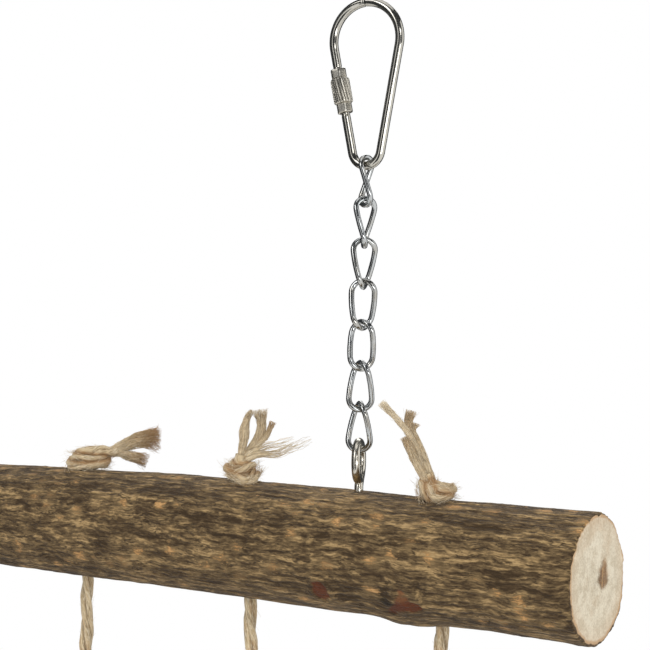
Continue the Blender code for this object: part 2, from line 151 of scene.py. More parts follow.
# Scars and bulges of the log, in the terms of the rungs' scars. The first two scars and the bulges are
# as photographed
LOG_SCARS = (
    (0.141, -34, 0.065, 0.325),
    (0.214, -31, 0.030, 0.290),
    (0.516, 165, 0.060, 0.325),
    (0.724, 35, 0.050, 0.300),
)
LOG_BULGES = ((0.159, -72, 0.070, 0.280), (0.139, -74, 0.055, 0.260))
# Bare wood of a scar in radii: below a height it is an ellipse, and otherwise a tent on a tilted foot,
# which has this size at the full spread
LOW_SCAR = 0.04
LOW_SCAR_RADII = (0.16, 0.18)
SCAR_SPREAD = 0.325
SCAR_HALF_WIDTH = 0.33
SCAR_RISE = 0.34
SCAR_FOOT = 0.16
SCAR_TILT = 0.25

# Grids of the sticks: rings along and points round. More rings follow at rims, scars and rope holes
LOG_GRID = (190, 264)
RUNG_GRID = (170, 190)
RIM_COLUMNS = (0.0002, 0.0005, 0.0010)
SCAR_REACH = 0.0072
HOLE_REACH = 0.004
CLOSEST_COLUMNS = 0.00012
# Noises of the bark: length and width of a cell and the shift of the seed. The sway bends the ridges,
# plates and crumbs round the stick, by up to half its reach
BARK_SWAY = (0.026, 0.012, 0)
BARK_LUMPS = (0.034, 0.013, 1)
BARK_RIDGES = (0.0095, 0.0019, 2)
BARK_PLATES = (0.017, 0.0042, 3)
BARK_CRUMBS = (0.0042, 0.0010, 4)
SCAR_EDGE = (0.0024, 0.0014, 6)
ROT_EDGE = (0.0022, 0.0013, 8)
SWAY_REACH = 0.0045
# Details of the sticks: the relief's growth with the radius, the round, chipped and nicked rim, the
# depth that shows in a rope hole, and the shares of the rim where a sawn end has a ring
RELIEF_GROWTH = 0.4
RIM_ROUND = 0.0008
RIM_CUT = 0.0004
FINE_CHIP = 0.0011
BROAD_CHIP = 0.0042
CHIP_REACH = 0.0022
CHIP_DEPTH = 0.00032
NICK_AT = 1.60
NICK_WIDTH = 0.0009
NICK_LENGTH = 0.0016
NICK_DEPTH = 0.0009
HOLE_DEPTH = 0.004
END_SHARES = (0.985, 0.965, 0.94, 0.9, 0.8, 0.68, 0.56, 0.44, 0.32, 0.2, 0.1)
END_PROUD = 0.00008
SAW_ROUGHNESS = 0.00006

# Details of the wires: steps and sides, thread, gate tips, weld, depths where the eye's shank ends and
# where its bend starts, and the eye's tip
WIRE_STEP = 0.00022
LINK_STEP = 0.00042
QUICK_WIRE_SIDES = 32
LINK_WIRE_SIDES = 16
EYE_WIRE_SIDES = 20
THREAD_LENGTH = 0.0050
THREAD_RUN_OUT = 0.0006
THREAD_PITCH = 0.0007
THREAD_DEPTH = 0.00022
GATE_TIP_ROUND = 0.0005
GATE_TIP_CUT = 0.0004
WELD_AT = 0.262
WELD_WIDTH = 0.0003
WELD_DEPTH = 0.00022
EYE_SHANK_DEPTH = 0.006
EYE_BEND_DEPTH = 0.001
EYE_TIP_ROUND = 0.0003
EYE_TIP_SHARE = 0.85
# Details of a sleeve nut: flutes, the grip's rings and its drawn-in ends, the step to a collar, a
# collar's flats, its depths below the end face with the cuts from its radius, its foot, and the bore
FLUTE_COUNT = 20
FLUTE_DEPTH = 0.00030
FLUTE_TURN_HEIGHT = 0.0085
GRIP_RINGS = 34
GRIP_EDGE = 0.0006
GRIP_EDGE_CUT = 0.0004
GRIP_STEP = 0.00005
SLEEVE_SIDES = 240
SLEEVE_FLAT_SHARE = 0.93
COLLAR_PROFILE = ((0.0, 0.00035), (0.00012, 0.00012), (0.0003, 0.0), (0.0012, 0.0), (0.0022, 0.0))
COLLAR_FOOT = 0.0002
SLEEVE_BORE_GAP = 0.0002
BORE_FLARE = 0.0002
BORE_FLARE_DEPTH = 0.0003
SLEEVE_SHARP_ANGLE = math.radians(38)

# Details of the ropes: steps along their paths, a strand's distance from the middle and its own radius
# as shares of the rope's, and its yarns
ROPE_STEP = 0.0004
STRETCH_STEP = 0.0005
STRAND_COUNT = 3
STRAND_OFFSET = 0.47
STRAND_RADIUS = 0.56
YARN_COUNT = 5
YARN_DEPTH = 0.055
YARN_TURN_LENGTH = 0.031
# Lengths over which a strand's thickness and turn wander, how much shorter they are where the rope is
# matted, and the shift of the first lay coordinate that weakens the painted shade in a matted rope's
# grooves
WANDER_LENGTH = 0.006
WANDER_MATTED = 0.0032
SWING_LENGTH = 0.011
SWING_MATTED = 0.006
MATTED_SHIFT = 0.0006
# Fibres: sides and points, share of the thickness left at a tip, thickness of loose ones and of those
# in a brush, and lengths of the loose ones
FIBRE_SIDES = 3
FUZZ_POINTS = 6
BRUSH_POINTS = 9
FIBRE_TIP_SHARE = 0.35
LOOSE_FIBRE = 0.00006
BRUSH_FIBRE = 0.00009
STRETCH_FUZZ = 0.0038
STOP_KNOT_FUZZ = 0.0030
KNOT_FUZZ = 0.0016
KNOT_SKIN_FUZZ = 0.0040
TAIL_FUZZ = 0.0022
# Ribbons of the tails: sides, depth as a share of the width, ripples round them, their height as a
# share of the width, and the length in which they turn by a radian
RIBBON_SIDES = 14
RIBBON_FLATNESS = 0.62
RIBBON_RIPPLES = 5
RIPPLE_HEIGHT = 0.09
RIPPLE_LENGTH = 0.0019
# The knots' tighter rope, the skin of fibres round it, and the winding of a stop knot: its radius and
# turns, where it starts below the seat, its drop and wave, and how far the rope runs on at both ends
KNOT_ROPE_RADIUS = 0.88 * ROPE_RADIUS
KNOT_SKIN_RADIUS = 1.08 * ROPE_RADIUS
STOP_KNOT_ROPE_RADIUS = 0.9 * ROPE_RADIUS
STOP_KNOT_WIND = 0.0034
STOP_KNOT_TURNS = 1.6
STOP_KNOT_START = 0.0010
STOP_KNOT_DROP = 0.0072
STOP_KNOT_WAVE = 0.0012
RUN_ON_ABOVE = 0.004
RUN_ON_BELOW = 0.002
# How far a stretch of rope reaches up into the log or the knot above it and down into the knot under
# its rung, and its bow
TUCK_ABOVE = 0.0035
TUCK_BELOW = 0.002
STRETCH_BOW = 0.0016
# Strands of a rope's end: half widths, length of the loose brush and its spread, distances of the path's
# points from the middle, heights of all but the last one, the greatest length, and how far the length
# and the last distance vary
END_WIDTHS = (0.0011, 0.0012, 0.0011)
END_BRUSH = 0.006
END_SPREAD = 0.0006
END_DISTANCES = (0.0006, 0.0010, 0.0016, 0.0018)
END_HEIGHTS = (0.004, -0.004, -0.009)
END_LENGTH = 0.0155
END_LENGTH_RANGE = 0.002
END_DISTANCE_RANGE = 0.001

# First seeds of the random draws
STICK_SEED = 40
KNOT_SEED = 60
TAIL_SEED = 80
KNOT_SKIN_SEED = 160
STOP_KNOT_SEED = 200
KNOT_TONE_SEED = 260
END_SEED = 300

# The camera's place from the middle of the log's right end, its heading, its dip and its near limit,
# then its right, the way it looks, up and the object's back as directions
CAMERA_FROM_END = np.array((0.184569, -0.417244, 0.084273))
VIEW_TURN = math.radians(34.232)
VIEW_DIP = math.radians(0.986)
CLIP_START = 0.01
ASIDE = np.array((math.cos(VIEW_TURN), math.sin(VIEW_TURN), 0.0))
BEHIND = np.array((-math.sin(VIEW_TURN), math.cos(VIEW_TURN), 0.0))
UPWARD = np.array((0.0, 0.0, 1.0))
TO_BACK = np.array((0.0, 1.0, 0.0))
MILLIMETRE = 0.001

# Soft lights: name, place from the object's middle, size and the setting that holds the power
LIGHTS = (
    ("key_light", (-0.25, -0.95, 0.95), 0.9, "key_power"),
    ("fill_light", (1.0, -0.65, 0.25), 0.8, "fill_power"),
    ("back_light", (-0.3, 0.9, 0.9), 0.8, "back_power"),
)
# Dark screens: name, first and last angle, tone, and reach and height of both edges
CARDS = (
    ("card_left", -176, -52, 0.05, (1.1, -1.0), (1.1, 0.8)),
    ("card_front", -35, 5, 0.06, (1.1, -1.0), (1.1, 0.8)),
    ("card_high", 5, 62, 0.07, (1.1, -0.10), (1.1, 0.8)),
    ("card_right", 106, 176, 0.06, (1.1, -1.0), (1.1, 0.8)),
    ("card_roof", -180, 180, 0.06, (1.1, 0.8), (0.45, 0.8)),
)
# Floor: its sides, its radius and the distances between which it fades out
FLOOR_SIDES = 96
FLOOR_RADIUS = 0.75
FLOOR_FADE = (0.45, 0.74)

# Rope paths of the top knots as seen by the camera, in millimetres from the rope's hole in the
# log's back: aside, behind, up
KNOT_PATHS = (
    ((0.0, 0.0, -5.0), (0.0, 0.0, -0.5), (1.6, -0.6, 1.4), (1.2, -2.6, 1.0), (-1.6, -3.4, 0.8),
     (-3.5, -2.7, 1.9), (-4.1, -2.4, 3.7), (-4.0, 0.2, 5.5), (-4.4, 2.2, 3.6), (-5.1, 1.4, 1.1),
     (-5.7, -1.5, 0.9), (-6.5, -2.1, 2.9), (-6.3, -0.2, 5.0), (-5.0, 1.8, 4.4), (-1.6, 2.2, 3.6),
     (1.4, 1.2, 3.2), (2.2, -0.8, 3.2), (0.4, -2.3, 3.4), (-2.2, -1.6, 4.4), (-4.0, -0.4, 5.8),
     (-5.4, 0.0, 8.0)),
    ((0.0, 0.0, -5.0), (0.0, 0.0, -0.5), (1.0, 1.4, 1.8), (1.8, 0.2, 3.3), (1.4, -2.0, 2.6),
     (0.2, -3.0, 1.0), (-3.0, -3.2, 1.3), (-6.4, -1.6, 2.9), (-7.4, 0.6, 4.0), (-4.4, 2.4, 3.6),
     (-0.8, 2.4, 3.2), (1.0, 1.0, 4.4), (0.5, -1.4, 4.6), (-2.6, -2.7, 4.3), (-5.8, -1.4, 4.6),
     (-6.0, 0.6, 5.7), (-3.6, 1.6, 6.2), (-1.5, 0.8, 6.4), (-2.0, -1.0, 6.2), (-3.6, -1.0, 6.8),
     (-3.0, 0.0, 8.2), (-2.8, 0.0, 9.4)),
    ((0.0, 0.0, -5.0), (0.0, 0.0, -0.5), (-2.0, 1.5, 1.8), (-5.0, 1.2, 2.4), (-5.4, -1.6, 1.8),
     (0.0, -3.4, 1.6), (5.0, -2.6, 1.7), (7.2, -0.4, 2.4), (5.0, 2.2, 4.2), (-1.0, 2.6, 5.0),
     (-5.2, 0.4, 4.7), (-3.0, -2.2, 4.6), (2.0, -2.9, 3.9), (6.0, -1.6, 3.6), (7.0, 0.4, 4.6),
     (4.5, 1.2, 6.0), (0.0, 0.8, 6.4), (-2.5, -0.4, 6.0), (0.5, -1.4, 6.6), (5.0, -0.9, 6.8),
     (9.6, -0.3, 6.2), (12.0, -0.3, 7.4)),
)
# Strands that leave each top knot, as seen by the camera, in millimetres: path points, half width
# at the knot, half way and at the tip, length of the loose brush and its spread, shade of its tip
TAIL_STRANDS = (
    (
        (((-4.8, -0.8, 5.2), (-8.0, -1.2, 11.0), (-11.0, -1.4, 17.4), (-12.4, -1.2, 20.6)),
         (1.5, 1.55, 1.3), 1.2, 0.2, 0.5),
        (((-4.4, 0.6, 5.2), (-6.6, 0.3, 11.0), (-9.4, -0.6, 18.0), (-11.8, -0.6, 22.4),
          (-15.6, -0.6, 26.9), (-20.0, -0.6, 31.6)), (1.6, 1.0, 1.0), 3.0, 0.5, -0.6),
        (((-3.4, 0.4, 5.2), (-5.8, 0.7, 12.0), (-8.8, 0.8, 19.4), (-11.2, 0.8, 24.0),
          (-10.0, 0.8, 28.8)), (1.6, 1.45, 1.3), 2.2, 0.5, 0.6),
        (((-8.0, 0.8, 18.4), (-9.6, 0.9, 22.0), (-8.6, 0.9, 24.8)), (1.0, 1.0, 0.9), 1.4, 0.3, 0.5),
        (((0.2, -1.8, 4.0), (1.8, -2.3, 4.3), (3.3, -2.4, 4.4)), (1.2, 1.25, 1.2), 0.9, 0.3, 0.9),
    ),
    (
        (((-3.2, 0.2, 7.6), (-3.0, 0.0, 11.0), (-2.3, -0.2, 14.6), (-2.0, -0.2, 18.6),
          (-1.0, -0.2, 22.4), (0.7, -0.2, 25.0)), (1.2, 1.9, 0.6), 2.6, 0.3, 0.2),
        (((-2.4, 0.6, 7.4), (-0.4, 0.6, 10.4), (3.0, 0.6, 15.4), (4.0, 0.6, 19.5),
          (3.3, 0.6, 25.2)), (1.6, 1.7, 1.9), 2.6, 0.6, 0.2),
        (((1.6, -0.2, 11.8), (4.7, -0.4, 14.5), (6.4, -0.5, 17.2), (8.0, -0.6, 21.0)),
         (0.8, 1.0, 0.9), 1.8, 0.3, 0.9),
        (((-2.0, -0.4, 7.8), (1.6, -0.8, 10.8), (6.4, -1.0, 12.6), (10.8, -1.0, 13.4),
          (15.4, -1.0, 14.8)), (1.4, 1.0, 0.7), 15.0, 0.6, -0.3),
        (((-2.0, -0.8, 7.0), (1.0, -1.2, 8.8), (4.4, -1.4, 9.6), (9.3, -1.4, 9.8),
          (14.0, -1.4, 11.6), (17.5, -1.4, 13.2), (21.4, -1.4, 14.9)),
         (1.3, 1.1, 0.8), 19.0, 0.7, -0.2),
    ),
    (
        (((6.0, -0.4, 6.4), (9.6, -0.4, 6.5), (14.0, -0.4, 8.8), (18.4, -0.4, 10.5),
          (23.1, -0.4, 11.2), (28.0, -0.4, 11.0)), (1.8, 2.7, 3.0), 6.5, 1.1, 1.35),
        (((7.0, 0.4, 6.2), (11.0, 0.4, 7.4), (16.0, 0.4, 10.2), (21.0, 0.4, 12.4),
          (27.4, 0.4, 12.9)), (1.6, 2.1, 1.8), 5.5, 1.0, 1.3),
        (((8.0, -0.6, 6.0), (12.2, -0.9, 6.4), (16.4, -1.0, 5.0), (19.7, -1.0, 4.2),
          (23.2, -1.0, 2.9)), (1.3, 2.0, 2.0), 4.0, 0.8, 1.35),
    ),
)
# Paleness of the tails and, on average, of the fibres on the knots
TAIL_PALENESS = 0.26
SKIN_PALENESS = 0.32
# Which knot and tail each rope has, from the right rope to the left, and its turn about Z
TOP_KNOTS = ((0, 0), (1, 0), (2, 0), (1, 196), (2, 168))


def smooth_step(low, high, value):
    """Rise from 0 at low to 1 at high along 3t² - 2t³."""
    share = np.clip((value - low) / (high - low), 0.0, 1.0)
    return share * share * (3 - 2 * share)


def wrapped_noise(along, around, cells, seed):
    """Value noise on a lattice of cells that closes in its second direction.

    Each lattice point holds a seeded random value from 0 to 1, and a point between four of them
    takes their mean, weighted by the smooth step of its distance in each direction.
    """
    rows, columns = cells
    table = np.random.default_rng(seed).random((rows + 4, columns))
    row = np.clip(along, 0.0, 1.0) * rows + 1
    column = around * columns
    row_index = np.floor(row).astype(int)
    column_index = np.floor(column).astype(int)
    rise = smooth_step(0.0, 1.0, row - row_index)
    run = smooth_step(0.0, 1.0, column - column_index)
    left = column_index % columns
    right = (column_index + 1) % columns
    lower = table[row_index, left] * (1 - run) + table[row_index, right] * run
    upper = table[row_index + 1, left] * (1 - run) + table[row_index + 1, right] * run
    return lower * (1 - rise) + upper * rise


def spline(points, count):
    """A smooth path through points: cubics whose slope at a point is half the step between its
    neighbours, sampled at equal steps of the parameter."""
    points = np.asarray(points, float)
    padded = np.vstack((2 * points[:1] - points[1:2], points, 2 * points[-1:] - points[-2:-1]))
    place = np.linspace(0.0, len(points) - 1, count)
    index = np.minimum(place.astype(int), len(points) - 2)
    t = (place - index)[:, None]
    before, start, end, after = (padded[index + shift] for shift in range(4))
    return 0.5 * (
        2 * start + (end - before) * t + (2 * before - 5 * start + 4 * end - after) * t ** 2
        + (3 * start - before - 3 * end + after) * t ** 3
    )


def even_path(points, step):
    """A path resampled to equal steps of its own length."""
    lengths = path_lengths(points)
    count = max(int(round(lengths[-1] / step)), 4) + 1
    wanted = np.linspace(0.0, lengths[-1], count)
    return np.stack([np.interp(wanted, lengths, points[:, axis]) for axis in range(3)], axis=1)


def path_lengths(points):
    """Length of a path from its start to each of its points."""
    steps = np.linalg.norm(np.diff(points, axis=0), axis=1)
    return np.concatenate(((0.0,), np.cumsum(steps)))


def unit(vectors):
    """Vectors scaled to length 1."""
    return vectors / np.linalg.norm(vectors, axis=-1, keepdims=True)


def path_frames(path, closed=False, side=None):
    """Tangent, side and cross directions along a path.

    The tangent is the step between a point's neighbours. The side is the given direction, or where
    none is given the side of the point before, less its part along the tangent.
    """
    if closed:
        tangent = unit(np.roll(path, -1, axis=0) - np.roll(path, 1, axis=0))
    else:
        tangent = unit(np.gradient(path, axis=0))
    if side is None:
        side = np.empty_like(tangent)
        carried = np.cross(tangent[0], (0.31, 0.82, 0.48))
        for index, direction in enumerate(tangent):
            carried = carried - direction * np.dot(carried, direction)
            carried = carried / np.linalg.norm(carried)
            side[index] = carried
    else:
        side = np.broadcast_to(np.asarray(side, float), tangent.shape)
        side = unit(side - tangent * np.sum(side * tangent, axis=1, keepdims=True))
    return tangent, side, np.cross(tangent, side)


def swept_tube(path, radius, sides, closed=False, side=None):
    """A circle carried along a path: centre plus radius times the side and cross directions.

    The radius is one number or one for each point. Returns the rings of points, and for the shader
    each point's place on the wire: the two directions round it and the length along it.
    """
    _, side, cross = path_frames(path, closed, side)
    angle = np.arange(sides) * TURN / sides
    if np.ndim(radius) == 1:
        radius = radius[:, None]
    radius = np.broadcast_to(radius, (len(path), sides))
    lay = np.stack((radius * np.cos(angle), radius * np.sin(angle),
                    np.broadcast_to(path_lengths(path)[:, None], radius.shape)), axis=-1)
    return carried_rings(path, side, cross, lay[..., 0], lay[..., 1]), lay


def carried_rings(path, side, cross, along_side, along_cross):
    """Rings of points along a path: each point of the path plus lengths along its side and cross."""
    return (path[:, None, :] + along_side[:, :, None] * side[:, None, :]
            + along_cross[:, :, None] * cross[:, None, :])


def ring_faces(rings, sides, closed=False):
    """Faces that skin a stack of rings, with a fan to a pole at each open end."""
    count = rings if closed else rings - 1
    row = np.arange(count)[:, None]
    column = np.arange(sides)[None, :]
    following_row = (row + 1) % rings
    following = (column + 1) % sides
    quads = np.stack((row * sides + column, row * sides + following,
                      following_row * sides + following, following_row * sides + column), axis=-1)
    quads = quads.reshape(-1, 4)
    if closed:
        return quads, np.empty((0, 3), int)
    spot = np.arange(sides)
    after = (spot + 1) % sides
    first = np.full(sides, rings * sides)
    last_row = (rings - 1) * sides
    fans = np.concatenate((
        np.stack((first, after, spot), axis=1),
        np.stack((first + 1, last_row + spot, last_row + after), axis=1),
    ))
    return quads, fans


def tube_arrays(rings, lay, closed=False):
    """Points, lay and faces of one tube, with poles in the middle of its open ends."""
    count, sides = rings.shape[:2]
    points = rings.reshape(-1, 3)
    places = lay.reshape(-1, 3)
    if not closed:
        points = np.vstack((points, rings[0].mean(axis=0), rings[-1].mean(axis=0)))
        places = np.vstack((places, lay[0].mean(axis=0), lay[-1].mean(axis=0)))
    return points, places, *ring_faces(count, sides, closed)


def joined(parts):
    """Several sets of points, lay and faces as one set, with the faces renumbered."""
    points, places, quads, fans = zip(*parts)
    starts = np.cumsum([0] + [len(group) for group in points])
    return (np.concatenate(points), np.concatenate(places),
            np.concatenate([group + start for group, start in zip(quads, starts)]),
            np.concatenate([group + start for group, start in zip(fans, starts)]))


def make_mesh(name, points, faces, vectors=None, floats=None, uv=None, second=None):
    """Put points and groups of equal faces into a smooth mesh with named point attributes.

    Faces whose number is marked in second take the second material.
    """
    mesh = bpy.data.meshes.new(name)
    groups = [group for group in faces if len(group)]
    corners = np.concatenate([group.ravel() for group in groups])
    sizes = np.concatenate([np.full(len(group), group.shape[1]) for group in groups])
    mesh.vertices.add(len(points))
    mesh.vertices.foreach_set("co", np.ascontiguousarray(points, np.float32).ravel())
    mesh.loops.add(len(corners))
    mesh.loops.foreach_set("vertex_index", corners.astype(np.int32))
    mesh.polygons.add(len(sizes))
    mesh.polygons.foreach_set("loop_start", (np.cumsum(sizes) - sizes).astype(np.int32))
    mesh.update(calc_edges=True)
    if second is not None:
        mesh.polygons.foreach_set("material_index", second.astype(np.int32))
    if uv is not None:
        layer = mesh.uv_layers.new(name="UVMap")
        layer.data.foreach_set("uv", uv[corners].astype(np.float32).ravel())
    for key, values in (vectors or {}).items():
        layer = mesh.attributes.new(key, "FLOAT_VECTOR", "POINT")
        layer.data.foreach_set("vector", np.ascontiguousarray(values, np.float32).ravel())
    for key, values in (floats or {}).items():
        layer = mesh.attributes.new(key, "FLOAT", "POINT")
        layer.data.foreach_set("value", np.ascontiguousarray(values, np.float32).ravel())
    if mesh.validate():
        raise RuntimeError(f"{name} has broken faces")
    mesh.shade_smooth()
    return mesh


def add_piece(name, mesh, finishes, nodes, body=None):
    """Link a finished mesh, and let it ride on its body in place of its CAD nodes."""
    for finish in finishes:
        mesh.materials.append(finish)
    piece = bpy.data.objects.new(name, mesh)
    bpy.context.scene.collection.objects.link(piece)
    if body is not None:
        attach(piece, body)
    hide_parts(*nodes)
    return piece


def seen_from_camera(points, base, turn=0.0):
    """Points given aside, behind and up in millimetres, set out from a base in the frame's axes,
    after a turn about the upright through the base."""
    points = np.asarray(points, float) * MILLIMETRE
    cos, sin = math.cos(turn), math.sin(turn)
    aside = ASIDE * cos + BEHIND * sin
    behind = BEHIND * cos - ASIDE * sin
    return base + points[:, :1] * aside + points[:, 1:2] * behind + points[:, 2:] * UPWARD


def swell_at(swells, share):
    """Smooth value of a stick's swell at shares of its length."""
    place = np.clip(share, 0.0, 1.0) * (len(swells) - 1)
    index = np.minimum(place.astype(int), len(swells) - 2)
    ease = smooth_step(0.0, 1.0, place - index)
    table = np.asarray(swells)
    return table[index] * (1 - ease) + table[index + 1] * ease


def log_top_at(offset):
    """Height of the log's back at a distance from its middle."""
    share = np.asarray(offset / LOG_LENGTH + 0.5)
    return LOG_AXIS_Z + LOG_RADIUS * (1 + float(swell_at(LOG_SWELLS, share)))


def rounded(distance, size):
    """Share of a round edge that is cut away at a distance from its tip, from 1 to 0 over its size."""
    return 1 - np.sqrt(np.clip(1 - (1 - np.clip(distance / size, 0, 1)) ** 2, 0, 1))


def stick_columns(length, coarse, scars):
    """Shares of a stick's length at which it has a ring, closer at its ends, scars and rope holes."""
    edge = np.array(RIM_COLUMNS)
    marks = [np.linspace(0.0, length, coarse), edge, length - edge]
    marks += [length * (1 - scar[0]) + np.linspace(-SCAR_REACH, SCAR_REACH, 21) for scar in scars]
    marks += [length / 2 + offset + np.linspace(-HOLE_REACH, HOLE_REACH, 17) for offset in ROPE_OFFSETS]
    marks = np.sort(np.concatenate(marks))
    keep = np.concatenate(((True,), np.diff(marks) > CLOSEST_COLUMNS))
    keep[-1] = True
    return marks[keep] / length


def bark_scars(share, angle, length, radius, scars, bulges, noise):
    """Rise of a stick's healed scars and bulges, and the masks of scar, collar, healed wood and rot.

    Each rises as a bell of its distance along and round the stick, in radii. A low scar's mask is
    an ellipse, and another's is a tent on a tilted foot, by the larger of its slopes. A noise makes
    their edges ragged. The collar is a ridge round the edge, the tent's upper part is healed wood,
    and a spot beside it is rotten.
    """
    rise, scar, collar, heal, rot = (np.zeros((share.size, angle.size)) for _ in range(5))
    ragged = 0.45 * noise(*SCAR_EDGE)
    specks = 0.1 * noise(*ROT_EDGE)
    for number, (from_right, degrees, height, spread) in enumerate((*scars, *bulges)):
        aside = np.mod(angle - math.radians(degrees) + math.pi, TURN) - math.pi
        apart = (1 - from_right - share) * length / radius
        rise = rise + height * np.exp(-(apart ** 2 + aside ** 2) / spread ** 2)
        if number >= len(scars):
            continue
        size = (spread / SCAR_SPREAD) ** 2
        if height < LOW_SCAR:
            lens = np.hypot((apart - 0.01) / LOW_SCAR_RADII[0], (aside + 0.02) / LOW_SCAR_RADII[1])
        else:
            tilted = aside + SCAR_TILT * apart
            roof = np.abs(apart + 0.05) / SCAR_HALF_WIDTH + np.maximum(tilted + 0.10, 0.0) / SCAR_RISE
            lens = np.maximum(roof, -tilted / SCAR_FOOT) / size
        lens = lens + ragged
        scar = np.maximum(scar, smooth_step(1.08, 0.92, lens))
        collar = np.maximum(collar, np.exp(-((lens - 1.35) / 0.32) ** 2))
        if height < LOW_SCAR:
            continue
        off = np.abs(apart)
        upper = smooth_step(-0.02, 0.16, aside - 0.3 * off) * smooth_step(0.5, 0.3, off)
        heal = np.maximum(heal, upper * smooth_step(0.5, 0.9, size))
        spot = np.hypot(apart - 0.27, 1.3 * (aside - 0.02)) + specks
        rot = np.maximum(rot, 0.85 * smooth_step(0.19, 0.08, spot) * smooth_step(0.7, 0.9, size))
    return rise, scar, collar, heal, rot


def sawn_ends(mantle, swell, length, seed):
    """Rings of a stick's two sawn ends, from the rim inwards: the rim drawn in to shares of its
    size, from flush with the rim's own unevenness to a flat plane, roughened by the saw."""
    shares = np.array(END_SHARES)
    flush = smooth_step(0.9, 0.985, shares)[:, None]
    saw = np.random.default_rng(seed).normal(0.0, SAW_ROUGHNESS, (2, len(shares), mantle.shape[1]))
    ends = []
    for row, outward, marks in ((0, -1, saw[0]), (-1, 1, saw[1])):
        centre = np.array((mantle[row, 0, 0], 0.0, swell[row, 0]))
        face = centre + shares[:, None, None] * (mantle[row] - centre)
        plane = outward * length / 2
        face[:, :, 0] = plane + flush * (mantle[row, :, 0] - plane) + outward * END_PROUD + marks
        ends.append(face)
    return ends


def bark_stick(length, radius, swells, scars, bulges, coarse, sides, relief, seed):
    """A bark-covered stick along X, with sawn ends.

    A ring's radius is the stick's radius, plus half its swell, times an unevenness that turns
    along the stick, plus the rise of scars and bulges and the bark's relief. The ring's middle is
    raised by the other half of the swell. The relief sums lumps, long ridges where a noise crosses
    its middle value, plates and fine crumbs. The rim is rounded, nicked and chipped, and near a rope
    hole the radius drops into the hole. Returns points from the axis, face groups, the marks of the
    second material, UVs and the masks of scars, healed wood, and rot with painted shade in the nick and
    the rope holes.
    """
    share = stick_columns(length, coarse, scars)[:, None]
    angle = (np.arange(sides) * TURN / sides)[None, :]
    swell = radius * swell_at(swells, share) / 2
    wobble = STICK_WOBBLE * np.cos(angle) * np.sin(2 * angle + STICK_WOBBLE_TURN * share)
    reach = (radius + swell) * (1 + wobble)
    around = np.broadcast_to(angle / TURN, reach.shape)
    along = np.broadcast_to(share, reach.shape)

    def noise(along_cell, around_cell, shift, place=around):
        """Noise about zero, from the size of its cells along and round the stick."""
        cells = int(round(length / along_cell)), int(round(TURN * radius / around_cell))
        return wrapped_noise(along, place, cells, seed + shift) - 0.5

    rise, scar, collar, heal, rot = bark_scars(share, angle, length, radius, scars, bulges, noise)
    bent = around + noise(*BARK_SWAY) * SWAY_REACH / (TURN * radius)
    lumps = noise(*BARK_LUMPS)
    ridge = 1 - 2 * np.abs(noise(*BARK_RIDGES, bent))
    plates = noise(*BARK_PLATES, bent)
    crumbs = noise(*BARK_CRUMBS, bent)
    bark = 1.3 * lumps + 0.9 * (ridge ** 2 - 0.4) + 0.8 * plates + 0.55 * crumbs
    reach = reach + radius * rise + relief * (bark * (1 - 0.7 * scar) + 1.1 * collar - 0.8 * scar)

    from_end = np.minimum(share, 1 - share) * length
    nick_around = (angle - NICK_AT) * radius / NICK_WIDTH
    nick = np.exp(-nick_around ** 2 - ((1 - share) * length / NICK_LENGTH) ** 2)
    reach = reach - RIM_CUT * rounded(from_end, RIM_ROUND) - NICK_DEPTH * nick
    hole = np.zeros_like(reach)
    for offset in ROPE_OFFSETS:
        from_axis = np.hypot((share - 0.5) * length - offset, reach * np.cos(angle)) / ROPE_HOLE_RADIUS
        hole = np.maximum(hole, smooth_step(1.08, 0.86, from_axis))
    reach = reach - HOLE_DEPTH * hole
    # Rot, and painted shade in the nick and down into the rope holes
    dark = np.clip(rot + nick + hole, 0.0, 1.0)

    chips = noise(length, FINE_CHIP, 7) + 1.6 * noise(length, BROAD_CHIP, 9)
    chips = CHIP_DEPTH * chips * smooth_step(CHIP_REACH, 0.0, from_end) * np.sign(share - 0.5)
    mantle = np.stack(((share - 0.5) * length + chips, -reach * np.cos(angle),
                       reach * np.sin(angle) + swell), axis=-1)
    ends = sawn_ends(mantle, swell, length, seed + 5)
    rings = np.concatenate((ends[0][::-1], mantle, ends[1]))
    points = np.vstack((rings.reshape(-1, 3), rings[0].mean(axis=0), rings[-1].mean(axis=0)))
    faces = [group[:, ::-1] for group in ring_faces(len(rings), sides)]

    ring_of = np.arange(len(faces[0])) // sides
    sawn = (ring_of < len(END_SHARES)) | (ring_of >= len(rings) - 1 - len(END_SHARES))
    second = np.concatenate((sawn, np.ones(len(faces[1]), bool)))
    blank = np.zeros(len(END_SHARES) * sides)
    masks = {key: np.concatenate((blank, mask.ravel(), blank, (0, 0)))
             for key, mask in (("scar", scar), ("heal", heal), ("dark", dark))}
    uv = 0.5 + 0.5 * points[:, 1:] / radius
    return points, faces, second, uv, masks


def circle_arc(centre, radius, start, end, steps):
    """Points of a circle in the XZ plane, from one angle to another."""
    angle = np.linspace(start, end, steps + 1)
    return np.stack((centre[0] + radius * np.cos(angle), np.zeros_like(angle),
                     centre[1] + radius * np.sin(angle)), axis=1)


def turned_about_z(points, turn):
    """Points turned about Z, by one angle or by one for each point."""
    cos, sin = np.cos(turn), np.sin(turn)
    return np.stack((points[..., 0] * cos - points[..., 1] * sin,
                     points[..., 0] * sin + points[..., 1] * cos, points[..., 2]), axis=-1)


def turned_about_y(points, turn):
    """Points turned about Y by one angle."""
    cos, sin = math.cos(turn), math.sin(turn)
    return np.stack((points[..., 0] * cos + points[..., 2] * sin, points[..., 1],
                     points[..., 2] * cos - points[..., 0] * sin), axis=-1)


